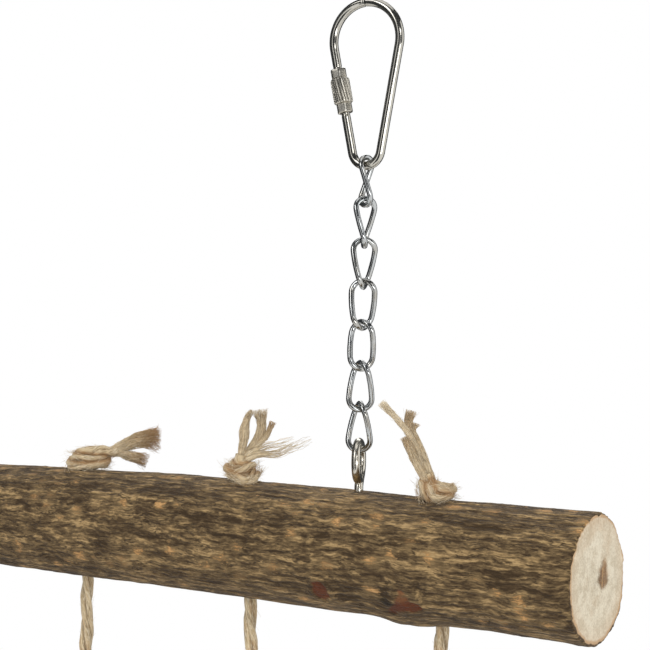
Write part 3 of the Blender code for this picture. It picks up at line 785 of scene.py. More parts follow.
def quick_link_path():
    """Middle line of the pear of wire in the XZ plane, from gate to gate over both bows, with the
    gate's middle and the direction of its arm."""
    top_centre = (0.0, QUICK_WIRE_RADIUS - QUICK_TOP_RADIUS)
    foot_centre = (0.0, top_centre[1] - QUICK_BOW_SPACING)
    lean = math.asin((QUICK_TOP_RADIUS - QUICK_FOOT_RADIUS) / QUICK_BOW_SPACING)
    top_bow = circle_arc(top_centre, QUICK_TOP_RADIUS, math.pi + lean, -lean, 90)
    foot_bow = circle_arc(foot_centre, QUICK_FOOT_RADIUS, -lean, lean - math.pi, 60)
    along = unit(foot_bow[-1] - top_bow[0])
    gate = top_bow[0] + along * ((-GATE_DROP - top_bow[0, 2]) / along[2])
    ends = gate - along * GATE_GAP / 2, gate + along * GATE_GAP / 2
    path = np.vstack((ends[0], top_bow, foot_bow, ends[1]))
    return even_path(path, WIRE_STEP), gate, along


def threaded_radius(lengths, sides):
    """Radius of the quick link's wire, threaded for a length at both ends: a wave that advances one
    pitch a turn, inside the wire, below a rounded tip, and a groove at the weld."""
    angle = np.arange(sides)[None, :] * TURN / sides
    from_end = np.minimum(lengths, lengths[-1] - lengths)[:, None]
    wave = 0.5 - 0.5 * np.cos(TURN * lengths[:, None] / THREAD_PITCH - angle)
    cut = THREAD_DEPTH * wave * smooth_step(THREAD_LENGTH, THREAD_LENGTH - THREAD_RUN_OUT, from_end)
    tip = GATE_TIP_CUT * rounded(from_end, GATE_TIP_ROUND)
    seam = WELD_DEPTH * np.exp(-((lengths[:, None] - WELD_AT * lengths[-1]) / WELD_WIDTH) ** 2)
    return QUICK_WIRE_RADIUS - cut - tip - seam


def knurled_sleeve():
    """A sleeve nut about the Z axis: a closed band of rings out along one end face, down the
    outside and back up the bore.

    The collars are hexagons with rounded corners, where the radius is the flat's distance over
    the cosine of the angle from its middle, held to the corner's round. The grip between them
    has slanted flutes where a cosine wave of the angle plus a share of the height is high. Returns
    points, face groups and the mask of the flutes.
    """
    angle = np.arange(SLEEVE_SIDES) * TURN / SLEEVE_SIDES
    bore = np.full(SLEEVE_SIDES, QUICK_WIRE_RADIUS + SLEEVE_BORE_GAP)
    half = SLEEVE_LENGTH / 2
    shoulder = half - SLEEVE_COLLAR_LENGTH
    flat = SLEEVE_COLLAR_RADIUS * SLEEVE_FLAT_SHARE
    hexagon = np.minimum(flat / np.cos(np.mod(angle, TURN / 6) - TURN / 12), SLEEVE_COLLAR_RADIUS)

    def flutes(height):
        """Mask of the flutes at a height, or at an array of them."""
        return smooth_step(0.1, 1.0, np.cos(FLUTE_COUNT * angle + TURN * height / FLUTE_TURN_HEIGHT))

    collar = [(hexagon - cut, half - depth) for depth, cut in COLLAR_PROFILE]
    collar += [(hexagon, shoulder + COLLAR_FOOT), (hexagon - COLLAR_FOOT, shoulder + GRIP_STEP)]
    grip = []
    for height in np.linspace(shoulder - GRIP_STEP, -shoulder + GRIP_STEP, GRIP_RINGS):
        edge = smooth_step(0.0, GRIP_EDGE, shoulder - abs(height))
        grip.append((SLEEVE_RADIUS - FLUTE_DEPTH * flutes(height) - GRIP_EDGE_CUT * (1 - edge), height))
    lower = [(reach, -height) for reach, height in reversed(collar)]
    inside = [(bore + BORE_FLARE, -half), (bore, -half + BORE_FLARE_DEPTH), (bore, 0.0),
              (bore, half - BORE_FLARE_DEPTH), (bore + BORE_FLARE, half)]
    rows = collar + grip + lower + inside
    reach = np.stack([row[0] for row in rows])
    height = np.broadcast_to(np.array([row[1] for row in rows])[:, None], reach.shape)
    rings = np.stack((reach * np.cos(angle), reach * np.sin(angle), height), axis=-1)
    groove = flutes(height) * (np.abs(height) < shoulder) * (reach > bore)
    quads, fans = ring_faces(len(rows), SLEEVE_SIDES, closed=True)
    return rings.reshape(-1, 3), (quads[:, ::-1], fans), groove.ravel()


def twisted_link():
    """Middle line of a chain link and the direction square to it: a stadium in the XZ plane that
    is turned about Z in step with the depth, so that its lower bow stands across its upper one."""
    bow = LINK_INNER_WIDTH / 2 + LINK_WIRE_RADIUS
    head = LINK_WIRE_RADIUS - bow
    foot = bow - LINK_INNER_LENGTH - LINK_WIRE_RADIUS
    flat = np.vstack((
        circle_arc((0.0, head), bow, math.pi, 0.0, 40),
        circle_arc((0.0, foot), bow, 0.0, -math.pi, 40),
        ((-bow, 0.0, head),),
    ))
    flat = even_path(flat, LINK_STEP)[:-1]
    height = LINK_INNER_LENGTH + 2 * LINK_WIRE_RADIUS
    turn = LINK_TWIST * (LINK_WIRE_RADIUS - flat[:, 2]) / height
    square = turned_about_z(np.broadcast_to(TO_BACK, flat.shape), turn)
    return turned_about_z(flat, turn), square


def screw_eye_path():
    """Middle line of a screw eye in the XZ plane: shank, bend at the neck and open ring."""
    centre_z = EYE_NECK + EYE_WIRE_RADIUS + EYE_RING_RADIUS
    start = EYE_RING_START - math.pi / 2
    end = start + TURN - (2 * EYE_WIRE_RADIUS + EYE_END_GAP) / EYE_RING_RADIUS
    ring = circle_arc((0.0, centre_z), EYE_RING_RADIUS, start, end, 90)
    neck = ((0.0, 0.0, -EYE_SHANK_DEPTH), (0.0, 0.0, -EYE_BEND_DEPTH), (0.0, 0.0, EYE_NECK / 2),
            (ring[0, 0] / 4, 0.0, EYE_NECK + EYE_END_GAP / 2))
    bend = spline(np.vstack((neck, ring[:1], ring[4:5])), 60)[:-12]
    return even_path(np.vstack((bend, ring[1:])), WIRE_STEP)


def laid_rope(path, radius, lay_length, sides=16, loose=0.0, seed=0, matted=0.0):
    """Three strands laid round a path.

    A strand's middle stays at about half the rope's radius from the path and turns once in a
    lay length. Its section is a circle, waved by the yarns in it, which turn against the lay. Each
    strand's thickness and turn wander a little, or more and faster where the rope is matted.
    Returns joined tube arrays.
    """
    lengths = path_lengths(path)
    _, side, cross = path_frames(path)
    angle = np.arange(sides)[None, :] * TURN / sides
    steps = np.linspace(0.0, 1.0, len(path))

    def drift(column, cell, noise_seed):
        """Noise about zero along the rope, from the length of its cells."""
        cells = max(int(lengths[-1] / cell), 2), 5
        return wrapped_noise(steps, np.full_like(steps, column), cells, noise_seed) - 0.5

    parts = []
    for strand in range(STRAND_COUNT):
        wander = drift(0.37, WANDER_LENGTH - WANDER_MATTED * matted, seed * 7 + strand)
        swing = drift(0.61, SWING_LENGTH - SWING_MATTED * matted, seed * 7 + strand + 3)
        turn = TURN * (strand / STRAND_COUNT - lengths / lay_length) + (0.7 + 1.3 * matted) * swing
        offset = radius * (STRAND_OFFSET + loose * (0.35 + wander))
        middle = path + (offset * np.cos(turn))[:, None] * side
        middle = middle + (offset * np.sin(turn))[:, None] * cross
        spun = angle - turn[:, None]
        thickness = radius * (STRAND_RADIUS + (0.10 + 0.30 * matted) * wander)[:, None]
        yarn = np.cos(YARN_COUNT * spun + TURN * lengths[:, None] / YARN_TURN_LENGTH)
        reach = thickness * (1 + YARN_DEPTH * yarn)
        rings = carried_rings(middle, side, cross, reach * np.cos(angle), reach * np.sin(angle))
        along = np.broadcast_to(lengths[:, None], reach.shape) + 0.1 * strand + seed
        # The first lay coordinate places the hemp's painted shade in the grooves between strands
        outward = reach * np.cos(spun) + MATTED_SHIFT * matted
        lay = np.stack((outward, reach * np.sin(spun), along), axis=-1)
        parts.append(tube_arrays(rings, lay))
    return joined(parts)


def thin_fibres(paths, thickness):
    """Many fibres at once, as three-sided tubes that taper to their tips.

    Paths is an array of fibre, point and axis. A section is square to its fibre, and its first
    direction is one across the fibre's whole run, less its part along the fibre. Each fibre has its
    own place in the lay, so that no two have the same streaks.
    """
    count, steps = paths.shape[:2]
    tangent = unit(np.gradient(paths, axis=1))
    run = unit(paths[:, -1] - paths[:, 0])
    across = unit(np.cross(run, np.stack((run[:, 1], run[:, 2], -run[:, 0]), axis=1) + 0.3))[:, None, :]
    side = unit(across - tangent * np.sum(across * tangent, axis=-1, keepdims=True))
    cross = np.cross(tangent, side)
    angle = np.arange(FIBRE_SIDES) * TURN / FIBRE_SIDES
    reach = (thickness[:, None] * np.linspace(1.0, FIBRE_TIP_SHARE, steps)[None, :])[:, :, None]
    rings = (paths[:, :, None, :] + (reach * np.cos(angle))[..., None] * side[:, :, None, :]
             + (reach * np.sin(angle))[..., None] * cross[:, :, None, :])
    per = steps * FIBRE_SIDES + 2
    points = np.concatenate((rings.reshape(count, -1, 3), paths[:, :1], paths[:, -1:]), axis=1)
    quads, fans = ring_faces(steps, FIBRE_SIDES)
    shift = (np.arange(count) * per)[:, None, None]
    lengths = np.linalg.norm(np.diff(paths, axis=1), axis=-1).cumsum(axis=1)
    along = np.concatenate((np.zeros((count, 1)), lengths), axis=1)
    places = np.empty((count, per, 3))
    # A first lay coordinate well above zero keeps the fibres out of the painted groove shade
    places[:, :, 0] = 0.01 + 0.011 * np.arange(count)[:, None]
    places[:, :, 1] = 0.007 * np.arange(count)[:, None]
    places[:, :-2, 2] = np.repeat(along, FIBRE_SIDES, axis=1)
    places[:, -2, 2] = 0.0
    places[:, -1, 2] = along[:, -1]
    return (points.reshape(-1, 3), places.reshape(-1, 3),
            (quads[None] + shift).reshape(-1, 4), (fans[None] + shift).reshape(-1, 3))


def rope_fuzz(path, radius, count, length, seed, lifts=(0.08, 0.30), bends=0.2):
    """Short loose fibres on a rope: each leaves the surface at a seeded place, runs along the
    rope, lifts off by a share of its length and curls a little."""
    random = np.random.default_rng(seed)
    tangent, side, cross = path_frames(path)
    margin = min(int(1.4 * length / path_lengths(path)[-1] * len(path)) + 1, len(path) // 3)
    pick = random.integers(margin, len(path) - margin, count)
    spot = random.random(count) * TURN
    out = np.cos(spot)[:, None] * side[pick] + np.sin(spot)[:, None] * cross[pick]
    round_rope = np.cross(tangent[pick], out)
    way = np.where(random.random(count) < 0.5, -1.0, 1.0)[:, None] * tangent[pick]
    size = (length * (0.4 + 0.9 * random.random(count)))[:, None, None]
    lift = (lifts[0] + lifts[1] * random.random(count) ** 2)[:, None, None]
    bend = np.clip(random.normal(0.0, bends, count), -1.75 * bends, 1.75 * bends)[:, None, None]
    share = np.linspace(0.0, 1.0, FUZZ_POINTS)[None, :, None]
    paths = (path[pick][:, None, :] + out[:, None, :] * (0.86 * radius + size * lift * share ** 1.6)
             + way[:, None, :] * size * share + round_rope[:, None, :] * size * bend * share ** 2)
    return thin_fibres(paths, LOOSE_FIBRE * (0.7 + 0.7 * random.random(count)))


def frayed_strand(points, widths, brush, spread, seed):
    """A flat ribbon of fibres that ends in a loose brush.

    Its half width runs through three values along it. The core is a tube of flattened section
    that shrinks in the brush. Each fibre follows the path at its own place in the section, waves
    a little, stops a little short of the end, and spreads and curls in the brush. Returns tube
    arrays and a mask that rises to the tip.
    """
    random = np.random.default_rng(seed)
    path = even_path(spline(points, 160), ROPE_STEP)
    lengths = path_lengths(path)
    share = lengths / lengths[-1]
    start = np.clip(1 - brush / lengths[-1], 0.15, 0.95)
    width = np.interp(share, (0.0, 0.55, 1.0), widths)
    core_width = 0.86 * width * (1 - 0.92 * smooth_step(start - 0.08, 0.6 * start + 0.4, share))
    angle = np.arange(RIBBON_SIDES) * TURN / RIBBON_SIDES
    _, side, cross = path_frames(path, side=BEHIND)
    ripple = np.cos(RIBBON_RIPPLES * angle[None, :] - lengths[:, None] / RIPPLE_LENGTH + seed)
    reach = core_width[:, None] * (1 + RIPPLE_HEIGHT * ripple)
    rings = carried_rings(path, side, cross, RIBBON_FLATNESS * reach * np.cos(angle),
                          reach * np.sin(angle))
    # A first lay coordinate well above zero keeps the ribbon out of the painted groove shade
    lay = np.stack((0.01 + reach * np.cos(angle), reach * np.sin(angle),
                    np.broadcast_to(lengths[:, None], reach.shape) + 0.05 * seed), axis=-1)
    core = tube_arrays(rings, lay)
    core_tip = np.concatenate((np.repeat(smooth_step(0.3, 1.0, share), RIBBON_SIDES), (0.0, 1.0)))

    dense = (0.14 + 0.86 * start ** 2) * (1 + (spread / MILLIMETRE) ** 2)
    count = int((60 + 70 * np.mean(widths) / MILLIMETRE) * dense)
    early = random.random(count) < 0.5
    near_root = 0.5 * random.random(count)
    near_brush = start - 0.2 * random.random(count)
    first = np.clip(np.where(early, near_root, near_brush), 0.0, 0.85)
    last = 1.0 - 0.9 * (1 - start) * random.random(count) ** 2
    along = first[:, None] + (last - first)[:, None] * np.linspace(0.0, 1.0, BRUSH_POINTS)[None, :]
    base, side_at, cross_at = (
        np.stack([np.interp(along, share, field[:, axis]) for axis in range(3)], axis=-1)
        for field in (path, side, cross))
    place = (random.random(count) * TURN)[:, None]
    out = np.sqrt(0.25 + 0.75 * random.random(count))[:, None]
    loose = smooth_step(start - 0.1, 1.1, along)
    reach = np.interp(along, share, width) + spread * loose
    curl = 0.10 + 0.30 * loose * spread / MILLIMETRE
    pace = (11 + 16 * random.random(count))[:, None]
    wave = curl * np.sin(along * pace + (random.random(count) * TURN)[:, None])
    swing = curl * np.sin(along * pace + (random.random(count) * TURN)[:, None])
    stray = random.normal(0.0, 0.32, count)[:, None] * loose
    paths = (base + (reach * (0.66 * out * np.cos(place) + wave + stray))[..., None] * side_at
             + (reach * (out * np.sin(place) + swing - stray))[..., None] * cross_at)
    fibres = thin_fibres(paths, BRUSH_FIBRE * (0.7 + 0.7 * random.random(count)))
    fibre_tip = np.concatenate((np.repeat(smooth_step(0.3, 1.0, along), FIBRE_SIDES, axis=1),
                                np.zeros((count, 1)), np.ones((count, 1))), axis=1)
    fuzz = rope_fuzz(path, 0.9 * np.mean(widths), count, TAIL_FUZZ, seed)
    tips = np.concatenate((core_tip, fibre_tip.ravel(), np.zeros(len(fuzz[0]))))
    return joined((core, fibres, fuzz)), tips


def fill_inputs(tree, node, inputs):
    """Link or set a node's inputs by name or number."""
    for key, value in inputs.items():
        if isinstance(value, bpy.types.NodeSocket):
            tree.links.new(value, node.inputs[key])
        else:
            node.inputs[key].default_value = value


def new_node(tree, kind, inputs=None, **settings):
    """Add a node, set its options, and link or set its inputs by name or number."""
    made = tree.nodes.new(kind)
    for key, value in settings.items():
        setattr(made, key, value)
    fill_inputs(tree, made, inputs or {})
    return made


def group_node(tree, group, inputs):
    """Outputs of a node group, with its inputs linked or set."""
    return new_node(tree, "ShaderNodeGroup", inputs, node_tree=group).outputs


def attribute_node(tree, name, output="Fac"):
    """A named attribute of the mesh, as a value or as a vector."""
    return new_node(tree, "ShaderNodeAttribute", attribute_name=name).outputs[output]


def math_node(tree, operation, first, second=0.0, clamp=False):
    """Output of one sum, product or other operation on two values."""
    made = new_node(tree, "ShaderNodeMath", {0: first, 1: second}, operation=operation, use_clamp=clamp)
    return made.outputs[0]


def sum_node(tree, *terms, start=0.0):
    """A starting value plus values, each times its weight."""
    for value, weight in terms:
        made = new_node(tree, "ShaderNodeMath", {0: value, 1: weight, 2: start}, operation="MULTIPLY_ADD")
        start = made.outputs[0]
    return start


def vector_node(tree, operation, first, second):
    """Output of one operation on two vectors."""
    return new_node(tree, "ShaderNodeVectorMath", {0: first, 1: second}, operation=operation).outputs[0]


def length_node(tree, vector):
    """Length of a vector."""
    return new_node(tree, "ShaderNodeVectorMath", {0: vector}, operation="LENGTH").outputs["Value"]


def mask_node(tree, value, low, high):
    """A smooth rise from 0 to 1 while a value goes from low to high."""
    return new_node(tree, "ShaderNodeMapRange", {"Value": value, "From Min": low, "From Max": high},
                    interpolation_type="SMOOTHSTEP").outputs[0]


def range_node(tree, value, start, end, low=0.0, high=1.0):
    """An even way from start to end while a value goes from low to high."""
    return new_node(tree, "ShaderNodeMapRange", {"Value": value, "From Min": low, "From Max": high,
                                                 "To Min": start, "To Max": end}).outputs[0]


def noise_node(tree, vector, scale, detail=2.0, roughness=0.5, output=0):
    """Noise texture at a vector: its value, or its colour where that output is named."""
    return new_node(tree, "ShaderNodeTexNoise", {"Vector": vector, "Scale": scale, "Detail": detail,
                                                 "Roughness": roughness}).outputs[output]


def mix_node(tree, factor, first, second):
    """Blend of two colours."""
    made = new_node(tree, "ShaderNodeMix", {0: factor, 6: opaque(first), 7: opaque(second)},
                    data_type="RGBA")
    return made.outputs[2]


def opaque(colour):
    """A colour of four parts from one of three, and a socket as it is."""
    return colour if isinstance(colour, bpy.types.NodeSocket) else (*colour, 1.0)


def layered(tree, colour, layers):
    """A colour under layers, each of a mask, the mask's weight and the colour that it blends to."""
    for mask, weight, tone in layers:
        colour = mix_node(tree, math_node(tree, "MULTIPLY", mask, weight, clamp=True), colour, tone)
    return colour


def add_bump(tree, shader, height, strength, distance):
    """Let a height tilt the shader's normals."""
    bump = new_node(tree, "ShaderNodeBump",
                    {"Height": height, "Strength": strength, "Distance": distance})
    tree.links.new(bump.outputs[0], shader.inputs["Normal"])


def shader_group(name, inputs, outputs):
    """A new shader node group with named sockets: its tree, input sockets and output node."""
    tree = bpy.data.node_groups.new(name, "ShaderNodeTree")
    for socket, kind, default in inputs:
        made = tree.interface.new_socket(name=socket, in_out="INPUT", socket_type=kind)
        if default is not None:
            made.default_value = default
    for socket in outputs:
        tree.interface.new_socket(name=socket, in_out="OUTPUT", socket_type="NodeSocketFloat")
    start = tree.nodes.new("NodeGroupInput")
    end = tree.nodes.new("NodeGroupOutput")
    return tree, start.outputs, end


def bark_pattern():
    """Group: the tone of bark along X, thin dark cracks where a noise crosses its middle value,
    cork spots with a core and a soft rim, and crumbs.

    The tone sums noises at five scales: long bands, wavy lens-shaped flecks, fine grain, broad
    blotches and crumbs. A place is swayed by a noise before it is stretched along X, so that the
    flecks bend. A spot is the ragged middle of a cell, in some of the cells of a cell texture.
    """
    tree = bpy.data.node_groups.get("bark_pattern")
    if tree is not None:
        return tree
    tree, given, end = shader_group(
        "bark_pattern",
        (("Vector", "NodeSocketVector", None), ("Fleck Width", "NodeSocketFloat", 0.0013)),
        ("Tone", "Crack", "Spot", "Spot Rim", "Spot Core", "Crumbs"),
    )
    sway = noise_node(tree, given["Vector"], 95.0, 3.0, 0.5, "Color")
    sway = vector_node(tree, "SUBTRACT", sway, (0.5, 0.5, 0.5))
    sway = vector_node(tree, "MULTIPLY", sway, (0.0040, 0.0034, 0.0034))
    place = vector_node(tree, "ADD", given["Vector"], sway)
    scale = math_node(tree, "DIVIDE", 1.0, given["Fleck Width"])

    def streak(share_along, share_of_scale, detail, roughness, shift):
        """Noise that is longer along X than across."""
        stretched = vector_node(tree, "MULTIPLY", place, (share_along, 1.0, 1.0))
        moved = vector_node(tree, "ADD", stretched, (shift, shift, shift))
        finer = math_node(tree, "MULTIPLY", scale, share_of_scale)
        return noise_node(tree, moved, finer, detail, roughness)

    band = streak(0.07, 0.42, 2.0, 0.5, 0.3)
    lens = streak(0.16, 0.85, 2.0, 0.55, 0.6)
    fine = streak(0.20, 2.1, 3.0, 0.6, 0.9)
    blotch = noise_node(tree, given["Vector"], 52.0, 3.0, 0.6)
    crumbs = noise_node(tree, given["Vector"], 1100.0, 3.0, 0.65)
    layers = ((band, 0.62), (lens, 0.84), (fine, 0.58), (blotch, 0.34), (crumbs, 0.12))
    tone = sum_node(tree, *layers, start=0.5 - 0.5 * sum(weight for _, weight in layers))

    seam = math_node(tree, "SUBTRACT", streak(0.10, 0.50, 2.0, 0.5, 1.4), 0.5)
    seam = mask_node(tree, math_node(tree, "ABSOLUTE", seam), 0.030, 0.006)
    crack = math_node(tree, "MULTIPLY", seam, mask_node(tree, fine, 0.56, 0.44))

    cells = new_node(tree, "ShaderNodeTexVoronoi", {
        "Vector": vector_node(tree, "MULTIPLY", place, (0.62, 1.0, 1.0)), "Scale": 215.0}).outputs
    chosen = new_node(tree, "ShaderNodeSeparateColor", {0: cells["Color"]}).outputs[0]
    chosen = mask_node(tree, chosen, 0.64, 0.88)
    ragged = sum_node(tree, (fine, 1.35), (crumbs, 0.4), start=cells["Distance"])
    fill_inputs(tree, end, {"Tone": tone, "Crack": crack, "Crumbs": crumbs})
    edges = (("Spot", 1.20, 1.02), ("Spot Core", 1.06, 0.90), ("Spot Rim", 1.36, 1.16))
    for socket, outer, inner in edges:
        spot = math_node(tree, "MULTIPLY", mask_node(tree, ragged, outer, inner), chosen)
        tree.links.new(spot, end.inputs[socket])
    return tree


def fibre_streaks():
    """Group: coarse and fine streaks along a strand or a wire: noises at its lay coordinates, stretched
    along it."""
    tree = bpy.data.node_groups.get("fibre_streaks")
    if tree is not None:
        return tree
    tree, given, end = shader_group(
        "fibre_streaks",
        (("Vector", "NodeSocketVector", None), ("Width", "NodeSocketFloat", 0.0004),
         ("Stretch", "NodeSocketFloat", 14.0)),
        ("Coarse", "Fine"),
    )
    shrink = new_node(tree, "ShaderNodeCombineXYZ", {
        0: 1.0, 1: 1.0, 2: math_node(tree, "DIVIDE", 1.0, given["Stretch"])}).outputs[0]
    place = vector_node(tree, "MULTIPLY", given["Vector"], shrink)
    scale = math_node(tree, "DIVIDE", 1.0, given["Width"])
    fill_inputs(tree, end, {
        "Coarse": noise_node(tree, place, scale, 2.0, 0.6),
        "Fine": noise_node(tree, place, math_node(tree, "MULTIPLY", scale, 3.1), 2.0),
    })
    return tree


def new_material(name):
    """An empty node material with a Principled shader: its tree and the shader."""
    made = bpy.data.materials.new(name)
    made.use_nodes = True
    tree = made.node_tree
    return made, tree, tree.nodes["Principled BSDF"]


def bark_material(settings, name, fleck_width):
    """Bark: six tones along its wavy grain, cracks, cork spots, red-brown healed scars with a pale
    upper corner, dark rot, and painted shade in the nick and the rope holes."""
    made, tree, shader = new_material(name)
    place = new_node(tree, "ShaderNodeTexCoord").outputs["Object"]
    pattern = group_node(tree, bark_pattern(), {"Vector": place, "Fleck Width": fleck_width})
    tone, crack, crumbs = (pattern[key] for key in ("Tone", "Crack", "Crumbs"))
    ramp = new_node(tree, "ShaderNodeValToRGB", {0: tone})
    stops = ((0.30, settings.crack_colour), (0.40, settings.shade_colour),
             (0.49, settings.ground_colour), (0.57, settings.weathered_colour),
             (0.655, settings.fleck_colour), (0.75, settings.bright_colour))
    elements = ramp.color_ramp.elements
    for _ in stops[2:]:
        elements.new(0.5)
    for element, (position, stop_colour) in zip(elements, stops):
        element.position = position
        element.color = opaque(stop_colour)
    healed = layered(tree, settings.scar_colour, (
        (attribute_node(tree, "heal"), 1.0, settings.heal_colour),
        (mask_node(tree, crumbs, 0.45, 0.7), 0.5, settings.crack_colour),
    ))
    colour = layered(tree, ramp.outputs[0], (
        (crack, 0.70, settings.crack_colour),
        (pattern["Spot Rim"], 0.55, settings.fleck_colour),
        (pattern["Spot"], 0.80, settings.spot_colour),
        (pattern["Spot Core"], 0.85, settings.core_colour),
        (attribute_node(tree, "scar"), 0.9, healed),
        # Rot, and painted shade in the nick and the rope holes
        (attribute_node(tree, "dark"), 1.0, settings.rot_and_recess_shade_colour),
    ))
    fill_inputs(tree, shader, {
        "Base Color": colour, "Roughness": range_node(tree, tone, 0.72, 0.95),
        "Specular IOR Level": 0.1, "Sheen Weight": 0.08, "Sheen Roughness": 0.4,
    })
    height = sum_node(tree, (tone, 1.0), (crumbs, 0.2), (crack, -0.2))
    add_bump(tree, shader, height, 0.8, 0.0011)
    return made


def sawn_material(settings):
    """Sawn end of a stick: cream wood with saw marks and faint rings, a brown pith beside the
    middle, stains, an orange inner bark and a dark rim, by the distance from the middle of the
    end."""
    made, tree, shader = new_material("sawn_wood")
    coordinates = new_node(tree, "ShaderNodeTexCoord").outputs
    place, flat = coordinates["Object"], coordinates["UV"]
    uneven = noise_node(tree, place, 260.0, 2.0)
    fuzz = noise_node(tree, place, 1400.0, 3.0, 0.7)
    stain = noise_node(tree, place, 95.0, 3.0, 0.6)
    saw = noise_node(tree, vector_node(tree, "MULTIPLY", flat, (30.0, 6.0, 0.0)), 1.0, 3.0, 0.6)
    from_middle = length_node(tree, vector_node(tree, "SUBTRACT", flat, (0.5, 0.5, 0.0)))
    share = sum_node(tree, (from_middle, 2.0), (uneven, 0.09), start=-0.045)
    rings = math_node(tree, "SINE", math_node(tree, "MULTIPLY", share, 52.0))
    grain = sum_node(tree, (fuzz, 0.5), (saw, 0.1), (uneven, 0.4))
    wood = mix_node(tree, mask_node(tree, grain, 0.38, 0.62), settings.wood_shade_colour,
                    settings.wood_colour)
    pith_place = vector_node(tree, "SUBTRACT", flat, (0.60, 0.505, 0.0))
    pith_place = vector_node(tree, "MULTIPLY", pith_place, (0.95, 0.8, 0.0))
    from_pith = sum_node(tree, (uneven, 0.11), (fuzz, 0.066), start=length_node(tree, pith_place))
    pith = math_node(tree, "MULTIPLY", mask_node(tree, from_pith, 0.205, 0.145),
                     math_node(tree, "ADD", 0.40, fuzz))
    pith_tone = mix_node(tree, mask_node(tree, saw, 0.46, 0.70), settings.pith_colour,
                         settings.cambium_colour)
    colour = layered(tree, wood, (
        (mask_node(tree, rings, 0.3, 1.0), 0.05, settings.cambium_colour),
        (pith, 1.0, pith_tone),
        (mask_node(tree, stain, 0.52, 0.72), 0.24, settings.cambium_colour),
        (mask_node(tree, share, 0.60, 1.0), 0.22, settings.cambium_colour),
        (mask_node(tree, share, 0.91, 0.955), 0.7, settings.cambium_colour),
        (mask_node(tree, share, 0.965, 0.99), 1.0, settings.shade_colour),
    ))
    fill_inputs(tree, shader, {"Base Color": colour, "Roughness": 0.88})
    add_bump(tree, shader, sum_node(tree, (fuzz, 1.0), (saw, 0.5)), 0.5, 0.0004)
    return made


def hemp_material(settings):
    """Hemp: straw fibres in three tones along the strand, warmer in long patches, with painted shade in
    the grooves between strands, where the first lay coordinate falls, and browner or, for a mask
    below zero, paler at frayed tips. In the knots the tip mask also carries painted shade in the creases."""
    made, tree, shader = new_material("hemp")
    lay = attribute_node(tree, "lay", "Vector")
    tip = attribute_node(tree, "tip")
    outward = new_node(tree, "ShaderNodeSeparateXYZ", {0: lay}).outputs[0]
    streaks = group_node(tree, fibre_streaks(), {"Vector": lay, "Width": settings.fibre_width})
    patches = group_node(tree, fibre_streaks(), {"Vector": lay, "Width": 0.0022, "Stretch": 3.0})
    coarse, fine = streaks["Coarse"], streaks["Fine"]
    colour = layered(tree, settings.straw_colour, (
        (mask_node(tree, coarse, 0.58, 0.34), 0.85, settings.shade_colour),
        # Painted shade in the grooves between strands, where the first lay coordinate falls
        (mask_node(tree, outward, 0.0006, -0.0003), 0.7, settings.shade_colour),
        (mask_node(tree, patches["Coarse"], 0.50, 0.68), 0.6, settings.warm_colour),
        (mask_node(tree, patches["Fine"], 0.54, 0.70), 0.55, settings.pale_colour),
        (mask_node(tree, fine, 0.46, 0.68), 0.6, settings.pale_colour),
        # The tip mask browns frayed tips, and in the knots it paints shade into the creases
        (tip, 0.75, settings.tip_and_crease_shade_colour),
        (tip, -0.8, settings.pale_colour),
    ))
    fill_inputs(tree, shader, {
        "Base Color": colour, "Roughness": 0.85, "Specular IOR Level": 0.25,
        "Sheen Weight": 0.12, "Sheen Roughness": 0.5,
    })
    add_bump(tree, shader, sum_node(tree, (coarse, 1.0), (fine, 0.6)), 0.9, 0.0005)
    return made


def wire_material(name, colour, shade, roughness, mark_depth):
    """Plated wire: drawn marks along it, dull patches in a tarnish colour, and nearly black along the
    groove mask.
    """
    made, tree, shader = new_material(name)
    place = new_node(tree, "ShaderNodeTexCoord").outputs["Object"]
    lay = attribute_node(tree, "lay", "Vector")
    marks = group_node(tree, fibre_streaks(), {"Vector": lay, "Width": 0.0007, "Stretch": 12.0})["Coarse"]
    tint = layered(tree, colour, (
        (mask_node(tree, noise_node(tree, place, 160.0, 2.0), 0.45, 0.75), 1.0, shade),
        # Nearly black along the groove mask, which marks the sleeve's flutes
        (attribute_node(tree, "groove"), 0.8, [value * 0.22 for value in shade]),
    ))
    fill_inputs(tree, shader, {
        "Base Color": tint, "Metallic": 1.0,
        "Roughness": range_node(tree, marks, 0.75 * roughness, 1.3 * roughness, 0.3, 0.7),
    })
    add_bump(tree, shader, marks, mark_depth, 0.0001)
    return made


def material_once(name, build, *values):
    """A material by name, built the first time that it is asked for."""
    return bpy.data.materials.get(name) or build(*values)


def plated_wire(settings, name, colour, dullness, mark_depth):
    """A plated wire's finish by name: its roughness is the polish's, times its dullness."""
    return material_once(name, wire_material, name, colour, settings.tarnish_colour,
                         settings.roughness * dullness, mark_depth)


def colour_property(name, description, default):
    """A colour that a user may change."""
    return FloatVectorProperty(name=name, description=description, default=default, subtype="COLOR",
                               size=3, min=0.0, max=1.0)


def length_property(name, description, default):
    """A length that a user may change."""
    return FloatProperty(name=name, description=description, default=default, unit="LENGTH")


def power_property(name, description, default):
    """A light's power that a user may change."""
    return FloatProperty(name=name, description=description, default=default, unit="POWER")


